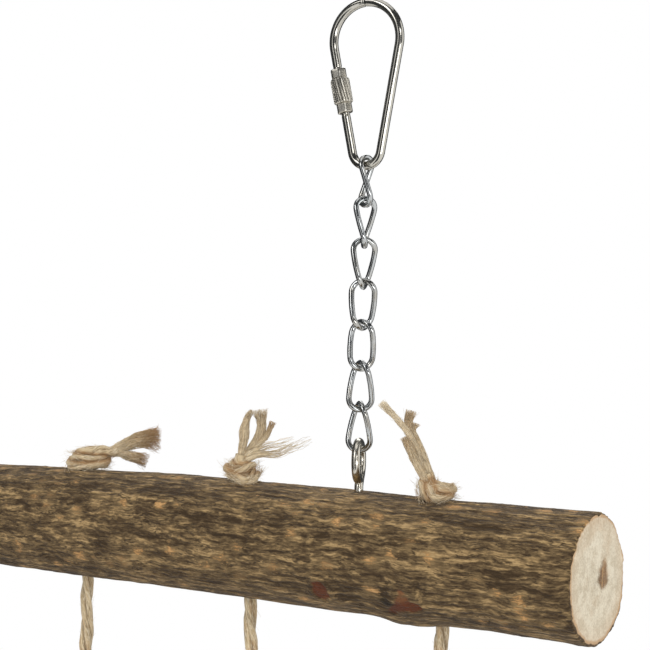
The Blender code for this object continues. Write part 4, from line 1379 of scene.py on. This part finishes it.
class BarkSettings(PropertyGroup):
    """Sizes and colours of the bark sticks."""

    relief: length_property("Relief", "Height of the bark's ridges", 0.00034)
    fleck_width: length_property("Fleck width", "Width of a fleck on the log", 0.00108)
    rung_fleck_width: length_property("Rung fleck width", "Width of a fleck on a rung", 0.00095)
    crack_colour: colour_property("Crack", "Bark in its cracks", (0.048, 0.030, 0.015))
    shade_colour: colour_property("Shade", "Dark bark", (0.080, 0.051, 0.026))
    ground_colour: colour_property("Ground", "Main bark", (0.122, 0.081, 0.040))
    weathered_colour: colour_property("Weathered", "Lighter bark", (0.187, 0.125, 0.060))
    fleck_colour: colour_property("Fleck", "Tan flecks", (0.300, 0.199, 0.092))
    bright_colour: colour_property("Bright fleck", "Middle of the flecks", (0.43, 0.29, 0.137))
    spot_colour: colour_property("Spot", "Cork spots", (0.43, 0.225, 0.082))
    core_colour: colour_property("Spot core", "Middle of the cork spots", (0.60, 0.355, 0.150))
    scar_colour: colour_property("Scar", "Healed branch scars", (0.118, 0.032, 0.014))
    heal_colour: colour_property("Healed wood", "Upper corner of the scars", (0.210, 0.090, 0.040))
    # Colour of the rot, and painted shade in the nick and inside the rope holes
    rot_and_recess_shade_colour: colour_property("Hole", "Inside of the rope holes", (0.012, 0.009, 0.006))
    wood_colour: colour_property("Wood", "Sawn wood", (0.80, 0.72, 0.565))
    wood_shade_colour: colour_property("Wood shade", "Darker grain of the sawn wood", (0.58, 0.495, 0.36))
    cambium_colour: colour_property("Inner bark", "Ring inside the bark", (0.50, 0.285, 0.125))
    pith_colour: colour_property("Pith", "Middle of the sawn wood", (0.19, 0.105, 0.048))


class RopeSettings(PropertyGroup):
    """Sizes and colours of the ropes."""

    lay_length: length_property("Lay", "Length of one turn of a strand", 0.044)
    fibre_width: length_property("Fibre width", "Width of a streak of fibres", 0.00042)
    fuzz: IntProperty(name="Fuzz", description="Loose fibres on each length of rope", default=80,
                      min=1, max=200)
    straw_colour: colour_property("Straw", "Main colour of the hemp", (0.63, 0.487, 0.287))
    pale_colour: colour_property("Pale", "Light fibres", (0.88, 0.770, 0.570))
    warm_colour: colour_property("Warm", "Warmer patches", (0.51, 0.325, 0.163))
    # Shade: dark fibres, and the painted shade in the grooves between strands
    shade_colour: colour_property("Shade", "Dark fibres", (0.215, 0.140, 0.068))
    # Tip colour: browner frayed tips, and painted shade in the knots' creases
    tip_and_crease_shade_colour: colour_property("Tip", "Frayed tips", (0.38, 0.205, 0.078))


class MetalSettings(PropertyGroup):
    """Colours and polish of the plated wire."""

    nickel_colour: colour_property("Nickel", "Quick links", (0.585, 0.564, 0.505))
    zinc_colour: colour_property("Zinc", "Chain links", (0.56, 0.575, 0.575))
    eye_colour: colour_property("Eye", "Screw eyes and sleeve nuts", (0.735, 0.69, 0.595))
    tarnish_colour: colour_property("Tarnish", "Dull patches", (0.47, 0.45, 0.405))
    roughness: FloatProperty(name="Roughness", description="Roughness of the polish", default=0.11,
                             min=0.0, max=1.0, subtype="FACTOR")


class StageSettings(PropertyGroup):
    """Camera and light."""

    lens: FloatProperty(name="Lens", description="Focal length in millimetres", default=82.75,
                        unit="CAMERA")
    key_power: power_property("Key light", "Power of the main soft light", 6.5)
    fill_power: power_property("Fill light", "Power of the side light", 6.0)
    back_power: power_property("Back light", "Power of the light from behind", 4.0)
    ambient: FloatProperty(name="Ambient", description="Strength of the light from all round",
                           default=0.62, min=0.0, max=2.0)
    floor_drop: length_property("Floor drop", "Distance of the floor below the object", 0.06)
    floor_colour: colour_property("Floor", "Pale floor", (0.86, 0.86, 0.85))


def facing(place, target):
    """Turn that points a lamp's own -Z from a place to a target."""
    return (Vector(target) - Vector(place)).to_track_quat("-Z", "Y").to_euler()


def add_soft_light(name, place, target, size, power):
    """A square area light that faces a target."""
    data = bpy.data.lights.new(name, "AREA")
    data.shape = "SQUARE"
    data.size = size
    data.energy = power
    lamp = bpy.data.objects.new(name, data)
    lamp.location = place
    lamp.rotation_euler = facing(place, target)
    bpy.context.scene.collection.objects.link(lamp)


def add_camera(scene, settings):
    """The camera, off the log's right end."""
    data = bpy.data.cameras.new("camera")
    data.lens = settings.lens
    data.clip_start = CLIP_START
    camera = bpy.data.objects.new("camera", data)
    camera.location = LOG_MIDDLE + (LOG_LENGTH / 2, 0.0, 0.0) + CAMERA_FROM_END
    camera.rotation_euler = (math.pi / 2 - VIEW_DIP, 0.0, VIEW_TURN)
    scene.collection.objects.link(camera)
    scene.camera = camera


def add_surroundings(scene, settings):
    """A white world, at full strength where it is looked at, also in a reflection, and at the
    ambient strength where it lights."""
    world = bpy.data.worlds.new("surroundings")
    world.use_nodes = True
    scene.world = world
    tree = world.node_tree
    rays = new_node(tree, "ShaderNodeLightPath").outputs
    seen = math_node(tree, "MAXIMUM", rays["Is Glossy Ray"], rays["Is Transmission Ray"])
    seen = math_node(tree, "MAXIMUM", rays["Is Camera Ray"], seen)
    strength = range_node(tree, seen, settings.ambient, 1.0)
    fill_inputs(tree, tree.nodes["Background"], {"Color": (1.0, 1.0, 1.0, 1.0), "Strength": strength})


def add_stage_piece(name, points, faces, material, in_reflections_only=False):
    """A surface of the stage."""
    mesh = make_mesh(name, points, faces)
    mesh.materials.append(material)
    piece = bpy.data.objects.new(name, mesh)
    bpy.context.scene.collection.objects.link(piece)
    if in_reflections_only:
        piece.visible_camera = False
        piece.visible_diffuse = False
        piece.visible_transmission = False
        piece.visible_shadow = False


def floor_material(settings):
    """Pale floor: faintly mottled, clear from below, and fading out with its distance from the
    upright through the object's middle."""
    made, tree, shader = new_material("pale_floor")
    place = new_node(tree, "ShaderNodeTexCoord").outputs["Object"]
    tone = mix_node(tree, noise_node(tree, place, 6.0, 3.0), settings.floor_colour,
                    [value * 0.97 for value in settings.floor_colour])
    fill_inputs(tree, shader, {"Base Color": tone, "Roughness": 0.9})
    geometry = new_node(tree, "ShaderNodeNewGeometry").outputs
    from_middle = vector_node(tree, "SUBTRACT", geometry["Position"], tuple(CAD_MIDDLE))
    distance = length_node(tree, vector_node(tree, "MULTIPLY", from_middle, (1.0, 1.0, 0.0)))
    clear = math_node(tree, "MAXIMUM", mask_node(tree, distance, *FLOOR_FADE), geometry["Backfacing"])
    window = new_node(tree, "ShaderNodeBsdfTransparent")
    blend = new_node(tree, "ShaderNodeMixShader", {0: clear, 1: shader.outputs[0], 2: window.outputs[0]})
    tree.links.new(blend.outputs[0], tree.nodes["Material Output"].inputs["Surface"])
    return made


def add_floor(settings):
    """A round floor below the object: the middle plus a radius times the cosine and sine."""
    angle = np.arange(FLOOR_SIDES) * TURN / FLOOR_SIDES
    rim = np.stack((CAD_MIDDLE[0] + FLOOR_RADIUS * np.cos(angle),
                    CAD_MIDDLE[1] + FLOOR_RADIUS * np.sin(angle),
                    np.full(FLOOR_SIDES, CAD_LOWEST[2] - settings.floor_drop)), axis=1)
    add_stage_piece("floor", rim, (np.arange(FLOOR_SIDES)[None, :],), floor_material(settings))


def add_card(name, start, end, tone, foot, head):
    """A dark screen bent round the hanger, seen in reflections only, between two angles that count
    from the camera's side to its right, and between two edges by their reach and height."""
    material, tree, shader = new_material(name)
    fill_inputs(tree, shader, {"Base Color": (tone * 0.92, tone, tone * 1.08, 1.0), "Roughness": 1.0})
    turn = np.radians(np.linspace(start, end, 24)) + VIEW_TURN
    rim = np.stack((np.sin(turn), -np.cos(turn), np.zeros_like(turn)), axis=1)
    middle = np.array((LOG_MIDDLE_X / 2, 0.0, 0.0))
    points = np.concatenate([middle + rim * reach + UPWARD * height for reach, height in (foot, head)])
    column = np.arange(len(turn) - 1)
    quads = np.stack((column, column + 1, column + 1 + len(turn), column + len(turn)), axis=1)
    add_stage_piece(name, points, (quads,), material, in_reflections_only=True)


class CLIMBING_WALL_OT_stage(Operator):
    """Add the camera, the soft lights, the white surroundings, the pale floor and the dark screens"""

    bl_idname = "climbing_wall.stage"
    bl_label = "Stage"

    def execute(self, context):
        settings = context.scene.climbing_wall_stage
        context.scene.view_settings.view_transform = "Standard"
        add_camera(context.scene, settings)
        for name, offset, size, power in LIGHTS:
            add_soft_light(name, CAD_MIDDLE + offset, CAD_MIDDLE, size, getattr(settings, power))
        add_surroundings(context.scene, settings)
        add_floor(settings)
        for card in CARDS:
            add_card(*card)
        return {"FINISHED"}


class CLIMBING_WALL_OT_sticks(Operator):
    """Build the bark-covered top log and the rungs"""

    bl_idname = "climbing_wall.sticks"
    bl_label = "Bark sticks"

    def execute(self, context):
        settings = context.scene.climbing_wall_bark
        log_bark = material_once("log_bark", bark_material, settings, "log_bark", settings.fleck_width)
        rung_bark = material_once("rung_bark", bark_material, settings, "rung_bark",
                                  settings.rung_fleck_width)
        sawn = material_once("sawn_wood", sawn_material, settings)
        log = (LOG_LENGTH, LOG_RADIUS, LOG_SWELLS, LOG_SCARS, LOG_BULGES, *LOG_GRID)
        sticks = [("top_log", "top_bar", log_bark, log)]
        for number, (swells, scars) in enumerate(zip(RUNG_SWELLS, RUNG_SCARS), 1):
            rung = (RUNG_LENGTH, RUNG_RADIUS, swells, scars, (), *RUNG_GRID)
            sticks.append((f"rung_{number}", f"rung_{number}_body", rung_bark, rung))
        for number, (node, body, bark, stick) in enumerate(sticks):
            relief = settings.relief * (stick[1] / LOG_RADIUS) ** RELIEF_GROWTH
            points, faces, second, uv, masks = bark_stick(*stick, relief, STICK_SEED + 10 * number)
            points = points + LOG_MIDDLE - (0.0, 0.0, number * RUNG_PITCH)
            mesh = make_mesh(f"{node}_bark", points, faces, floats=masks, uv=uv, second=second)
            add_piece(f"{node}_bark", mesh, (bark, sawn), (node,), body)
        return {"FINISHED"}


def hanger_place(end):
    """Where a hook carries the quick link at an end of the log, 1 for the right and -1 for the left."""
    return np.array(((end - 1) * HANGER_SPAN / 2, 0.0, 0.0))


def add_wire_piece(node, rings, lay, metal, body, closed=False):
    """A piece of bent wire in place of a node, with its lay as an attribute."""
    points, places, quads, fans = tube_arrays(rings, lay, closed)
    mesh = make_mesh(f"{node}_wire", points, (quads, fans), {"lay": places})
    add_piece(f"{node}_wire", mesh, (metal,), (node,), body)


class CLIMBING_WALL_OT_quick_links(Operator):
    """Bend the pear-shaped quick links, threaded at their gates"""

    bl_idname = "climbing_wall.quick_links"
    bl_label = "Quick links"

    def execute(self, context):
        settings = context.scene.climbing_wall_metal
        nickel = plated_wire(settings, "nickel_wire", settings.nickel_colour, 1.0, 0.01)
        path, _, _ = quick_link_path()
        radius = threaded_radius(path_lengths(path), QUICK_WIRE_SIDES)
        rings, lay = swept_tube(path, radius, QUICK_WIRE_SIDES, side=TO_BACK)
        for side, (end, turn) in HANGERS.items():
            placed = turned_about_z(rings, turn) + hanger_place(end)
            add_wire_piece(f"quick_link_{side}", placed, lay, nickel, "quick_links")
        return {"FINISHED"}


class CLIMBING_WALL_OT_sleeve_nuts(Operator):
    """Turn the sleeve nuts, with hexagon collars and a fluted grip"""

    bl_idname = "climbing_wall.sleeve_nuts"
    bl_label = "Sleeve nuts"

    def execute(self, context):
        settings = context.scene.climbing_wall_metal
        nickel = plated_wire(settings, "sleeve_nickel", settings.eye_colour, 2.5, 0.0)
        points, faces, groove = knurled_sleeve()
        _, gate, along = quick_link_path()
        upright = turned_about_y(points, -math.atan2(along[0], -along[2])) + gate
        for side, (end, turn) in HANGERS.items():
            name = f"sleeve_nut_{side}_fluted"
            placed = turned_about_z(upright, turn) + hanger_place(end)
            mesh = make_mesh(name, placed, faces, {"lay": points}, {"groove": groove})
            mesh.set_sharp_from_angle(angle=SLEEVE_SHARP_ANGLE)
            add_piece(name, mesh, (nickel,), (f"sleeve_nut_{side}",), f"sleeve_{side}")
        return {"FINISHED"}


class CLIMBING_WALL_OT_chains(Operator):
    """Hang the twisted links of both chains"""

    bl_idname = "climbing_wall.chains"
    bl_label = "Chains"

    def execute(self, context):
        settings = context.scene.climbing_wall_metal
        zinc = plated_wire(settings, "zinc_wire", settings.zinc_colour, 1.2, 0.06)
        path, square = twisted_link()
        rings, lay = swept_tube(path, LINK_WIRE_RADIUS, LINK_WIRE_SIDES, closed=True, side=square)
        for side, (end, turn) in HANGERS.items():
            lean = end * CHAIN_LEAN
            hang = np.array((-math.sin(lean), 0.0, -math.cos(lean)))
            for number, link_turn in enumerate(LINK_TURNS, 1):
                pivot = np.array(PIVOTS[f"chain_{number}_swing"])
                if end < 0:
                    pivot[0] = -HANGER_SPAN - pivot[0]
                seat = QUICK_WIRE_RADIUS if number == 1 else LINK_WIRE_RADIUS
                head = pivot - hang * (seat + SEAT_GAP)
                placed = turned_about_y(turned_about_z(rings, turn + link_turn), lean) + head
                add_wire_piece(f"chain_{side}_link_{number}", placed, lay, zinc, f"chain_{number}",
                               closed=True)
        return {"FINISHED"}


class CLIMBING_WALL_OT_screw_eyes(Operator):
    """Bend the screw eyes in the log's back"""

    bl_idname = "climbing_wall.screw_eyes"
    bl_label = "Screw eyes"

    def execute(self, context):
        settings = context.scene.climbing_wall_metal
        eye_metal = plated_wire(settings, "eye_wire", settings.eye_colour, 2.0, 0.04)
        path = screw_eye_path()
        lengths = path_lengths(path)
        tip = smooth_step(lengths[-1], lengths[-1] - EYE_TIP_ROUND, lengths)
        radius = EYE_WIRE_RADIUS * (EYE_TIP_SHARE + (1 - EYE_TIP_SHARE) * tip)
        rings, lay = swept_tube(path, radius, EYE_WIRE_SIDES, side=TO_BACK)
        eye_top = PIVOTS["top_bar_swing"][2] + LINK_WIRE_RADIUS + SEAT_GAP
        foot = eye_top - 2 * EYE_RING_RADIUS - EYE_NECK
        for side, (end, turn) in HANGERS.items():
            place = np.array((LOG_MIDDLE_X + end * EYE_SPAN / 2, 0.0, foot))
            placed = turned_about_z(rings, turn + EYE_TURN) + place
            add_wire_piece(f"screw_eye_{side}", placed, lay, eye_metal, "top_bar")
        return {"FINISHED"}


def rope_base(index):
    """Where a rope leaves the log's back."""
    return np.array((ROPE_X[index], 0.0, log_top_at(ROPE_OFFSETS[index])))


def rung_foot(number):
    """Height of a rung's underside."""
    return LOG_AXIS_Z - number * RUNG_PITCH - RUNG_RADIUS


def add_rope_piece(name, arrays, tip, node, body=None):
    """A piece of rope from tube arrays, with the lay and the tip mask as attributes."""
    points, places, quads, fans = arrays
    hemp = material_once("hemp", hemp_material, bpy.context.scene.climbing_wall_rope)
    # The tip mask holds browner tips, and in the knots painted crease shade
    mesh = make_mesh(name, points, (quads, fans), {"lay": places}, {"tip": tip})
    return add_piece(name, mesh, (hemp,), (node,), body)


def stretch_path(start, end, way, phase):
    """A rope's line from stick to stick: straight, plus a bow to one side.

    The bow is half a sine wave times an uneven cosine, and fades out at the start and where the
    rope enters the rung.
    """
    share = np.linspace(0.0, 1.0, 60)
    line = start + (end - start) * share[:, None]
    bow = way * STRETCH_BOW * np.sin(math.pi * share)
    bow = bow * (0.6 + 0.4 * np.cos(2.2 * math.pi * share + phase))
    line[:, 0] += bow * smooth_step(0.0, 0.15, share) * smooth_step(0.72, 0.5, share)
    return even_path(line, STRETCH_STEP)


class CLIMBING_WALL_OT_rope_stretches(Operator):
    """Lay the ropes between the sticks"""

    bl_idname = "climbing_wall.rope_stretches"
    bl_label = "Rope stretches"

    def execute(self, context):
        settings = context.scene.climbing_wall_rope
        for number in range(1, RUNG_COUNT + 1):
            hinge_z = PIVOTS[f"rung_{number}_swing"][2]
            above = LOG_AXIS_Z - LOG_RADIUS if number == 1 else hinge_z + ROPE_RADIUS + SEAT_GAP
            for index, x in enumerate(ROPE_X):
                start = np.array((x, 0.0, above + TUCK_ABOVE))
                end = np.array((x, 0.0, rung_foot(number) - TUCK_BELOW))
                path = stretch_path(start, end, (-1) ** (index + number), index)
                seed = 10 * number + index
                rope = laid_rope(path, ROPE_RADIUS, settings.lay_length, loose=0.16, seed=seed)
                arrays = joined((rope, rope_fuzz(path, ROPE_RADIUS, settings.fuzz, STRETCH_FUZZ, seed)))
                node = f"rope_{index + 1}_stretch_{number}"
                piece = add_rope_piece(f"{node}_rope", arrays, np.zeros(len(arrays[0])), node)
                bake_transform(piece)
        return {"FINISHED"}


def crease_shade(points, path, radius):
    """Painted shade between a rope's turns, by how deep points lie there: a rise as the distance to the
    path, leaving out the path's own stretch beside a point, falls from nearly a rope's thickness to about
    its radius."""
    squares = np.sum(points ** 2, axis=1)[:, None] + np.sum(path ** 2, axis=1)[None, :]
    apart = np.sqrt(np.maximum(squares - 2 * points @ path.T, 0.0))
    lengths = path_lengths(path)
    own = lengths[np.argmin(apart, axis=1)]
    beside = np.abs(lengths[None, :] - own[:, None]) < 3.2 * radius
    return smooth_step(1.75 * radius, 1.1 * radius, np.where(beside, 1.0, apart).min(axis=1))


class CLIMBING_WALL_OT_top_knots(Operator):
    """Tie the knots on the log's back"""

    bl_idname = "climbing_wall.top_knots"
    bl_label = "Top knots"

    def execute(self, context):
        settings = context.scene.climbing_wall_rope
        hairs = 10 * settings.fuzz
        for index, (design, degrees) in enumerate(TOP_KNOTS):
            local = seen_from_camera(KNOT_PATHS[design], rope_base(index), math.radians(degrees))
            path = even_path(spline(local, 400), ROPE_STEP)
            rope = laid_rope(path, KNOT_ROPE_RADIUS, settings.lay_length, sides=14, loose=0.10,
                             seed=KNOT_SEED + index, matted=1.0)
            fuzz = rope_fuzz(path, KNOT_ROPE_RADIUS, 3 * settings.fuzz, KNOT_FUZZ, KNOT_SEED + index)
            skin = rope_fuzz(path, KNOT_SKIN_RADIUS, hairs, KNOT_SKIN_FUZZ, KNOT_SKIN_SEED + index,
                             lifts=(0.0, 0.06), bends=0.36)
            arrays = joined((rope, fuzz, skin))
            # Painted shade where the knot's turns press together, carried in the tip mask
            shade = 1.1 * crease_shade(arrays[0], path, KNOT_ROPE_RADIUS)
            random = np.random.default_rng(KNOT_TONE_SEED + index)
            tones = random.normal(-SKIN_PALENESS, 0.5, hairs)
            shade[-len(skin[0]):] += np.repeat(tones, len(skin[0]) // hairs)
            node = f"rope_{index + 1}_top_knot"
            add_rope_piece(f"{node}_rope", arrays, shade, node, "top_bar")
        return {"FINISHED"}


class CLIMBING_WALL_OT_top_tails(Operator):
    """Fray the tails above the top knots"""

    bl_idname = "climbing_wall.top_tails"
    bl_label = "Frayed tails"

    def execute(self, context):
        for index, (design, degrees) in enumerate(TOP_KNOTS):
            parts = []
            tips = []
            for number, (points, widths, brush, spread, shade) in enumerate(TAIL_STRANDS[design]):
                local = seen_from_camera(points, rope_base(index), math.radians(degrees))
                arrays, tip = frayed_strand(local, np.multiply(widths, MILLIMETRE), brush * MILLIMETRE,
                                            spread * MILLIMETRE, TAIL_SEED + 10 * index + number)
                parts.append(arrays)
                tips.append(tip * shade - TAIL_PALENESS)
            add_rope_piece(f"rope_{index + 1}_tail", joined(parts), np.concatenate(tips),
                           f"rope_{index + 1}_top_knot", "top_bar")
        return {"FINISHED"}


def stop_knot_path(seat_z, x, turn):
    """An overhand knot under a rung: the rope drops from the seat in a shallow wave, while it winds a
    bit over one and a half times round its line at a radius that swells and shrinks, and drops on."""
    share = np.linspace(0.0, 1.0, 260)
    wind = smooth_step(0.10, 0.86, share)
    angle = turn + TURN * STOP_KNOT_TURNS * wind
    radius = STOP_KNOT_WIND * np.sin(math.pi * np.clip((share - 0.06) / 0.86, 0, 1)) ** 0.6
    drop = STOP_KNOT_START + STOP_KNOT_DROP * smooth_step(0.0, 1.0, share)
    drop = drop + STOP_KNOT_WAVE * np.sin(TURN * STOP_KNOT_TURNS * share)
    path = np.stack((x + radius * np.cos(angle), radius * np.sin(angle), seat_z - drop), axis=1)
    head = ((x, 0.0, seat_z + RUN_ON_ABOVE),)
    foot = ((x, 0.0, seat_z - STOP_KNOT_HEIGHT - RUN_ON_BELOW),)
    return even_path(np.vstack((head, path, foot)), ROPE_STEP)


class CLIMBING_WALL_OT_stop_knots(Operator):
    """Tie a stop knot under each rung on each rope"""

    bl_idname = "climbing_wall.stop_knots"
    bl_label = "Stop knots"

    def execute(self, context):
        settings = context.scene.climbing_wall_rope
        for number in range(1, RUNG_COUNT + 1):
            for index, x in enumerate(ROPE_X):
                seed = STOP_KNOT_SEED + 10 * number + index
                path = stop_knot_path(rung_foot(number), x, 1.3 * index + 2.1 * number)
                rope = laid_rope(path, STOP_KNOT_ROPE_RADIUS, settings.lay_length, sides=12, loose=0.08,
                                 seed=seed)
                fuzz = rope_fuzz(path, STOP_KNOT_ROPE_RADIUS, settings.fuzz, STOP_KNOT_FUZZ, seed)
                arrays = joined((rope, fuzz))
                # Painted shade where the stop knot's turns press together, carried in the tip mask
                shade = 0.7 * crease_shade(arrays[0], path, STOP_KNOT_ROPE_RADIUS)
                add_rope_piece(f"rope_{index + 1}_stop_knot_{number}", arrays, shade,
                               f"rope_{index + 1}_stretch_{number}", f"rung_{number}_body")
        return {"FINISHED"}


class CLIMBING_WALL_OT_rope_ends(Operator):
    """Fray the rope ends below the last rung"""

    bl_idname = "climbing_wall.rope_ends"
    bl_label = "Rope ends"

    def execute(self, context):
        for index, x in enumerate(ROPE_X):
            random = np.random.default_rng(END_SEED + index)
            base = np.array((x, 0.0, rung_foot(RUNG_COUNT) - STOP_KNOT_HEIGHT))
            parts = []
            tips = []
            for strand in range(STRAND_COUNT):
                heading = TURN * strand / STRAND_COUNT + index
                length = END_LENGTH - END_LENGTH_RANGE * random.random()
                out = np.array(END_DISTANCES)
                out[-1] += END_DISTANCE_RANGE * random.random()
                up = np.array((*END_HEIGHTS, -length))
                points = base + np.stack((out * math.cos(heading), out * math.sin(heading), up), axis=1)
                arrays, tip = frayed_strand(points, END_WIDTHS, END_BRUSH, END_SPREAD,
                                            END_SEED + 10 * index + strand)
                parts.append(arrays)
                tips.append(0.5 * tip)
            add_rope_piece(f"rope_{index + 1}_end", joined(parts), np.concatenate(tips),
                           f"rope_{index + 1}_stretch_{RUNG_COUNT}", f"rung_{RUNG_COUNT}_body")
        return {"FINISHED"}


OPERATORS = (
    CLIMBING_WALL_OT_stage,
    CLIMBING_WALL_OT_rope_stretches,
    CLIMBING_WALL_OT_sticks,
    CLIMBING_WALL_OT_quick_links,
    CLIMBING_WALL_OT_sleeve_nuts,
    CLIMBING_WALL_OT_chains,
    CLIMBING_WALL_OT_screw_eyes,
    CLIMBING_WALL_OT_top_knots,
    CLIMBING_WALL_OT_top_tails,
    CLIMBING_WALL_OT_stop_knots,
    CLIMBING_WALL_OT_rope_ends,
)


class CLIMBING_WALL_PT_pieces(Panel):
    """Lists the pieces of the climbing wall"""

    bl_idname = "CLIMBING_WALL_PT_pieces"
    bl_label = "Climbing wall"
    bl_space_type = "VIEW_3D"
    bl_region_type = "UI"
    bl_category = "Climbing wall"

    def draw(self, context):
        column = self.layout.column()
        for operator in OPERATORS:
            column.operator(operator.bl_idname)
        for key in SETTINGS:
            settings = getattr(context.scene, key)
            box = self.layout.box()
            for name in settings.__annotations__:
                box.prop(settings, name)


SETTINGS = {
    "climbing_wall_bark": BarkSettings,
    "climbing_wall_rope": RopeSettings,
    "climbing_wall_metal": MetalSettings,
    "climbing_wall_stage": StageSettings,
}
CLASSES = (*SETTINGS.values(), *OPERATORS, CLIMBING_WALL_PT_pieces)


def register():
    """Register the classes and hang the settings on the scene."""
    for item in CLASSES:
        bpy.utils.register_class(item)
    for key, group in SETTINGS.items():
        setattr(bpy.types.Scene, key, PointerProperty(type=group))


def unregister():
    """Take the settings and classes away again."""
    for key in SETTINGS:
        delattr(bpy.types.Scene, key)
    for item in reversed(CLASSES):
        bpy.utils.unregister_class(item)


def main():
    """Build every piece through its operator."""
    register()
    for operator in OPERATORS:
        group, name = operator.bl_idname.split(".")
        getattr(getattr(bpy.ops, group), name)()


if __name__ == "__main__":
    main()
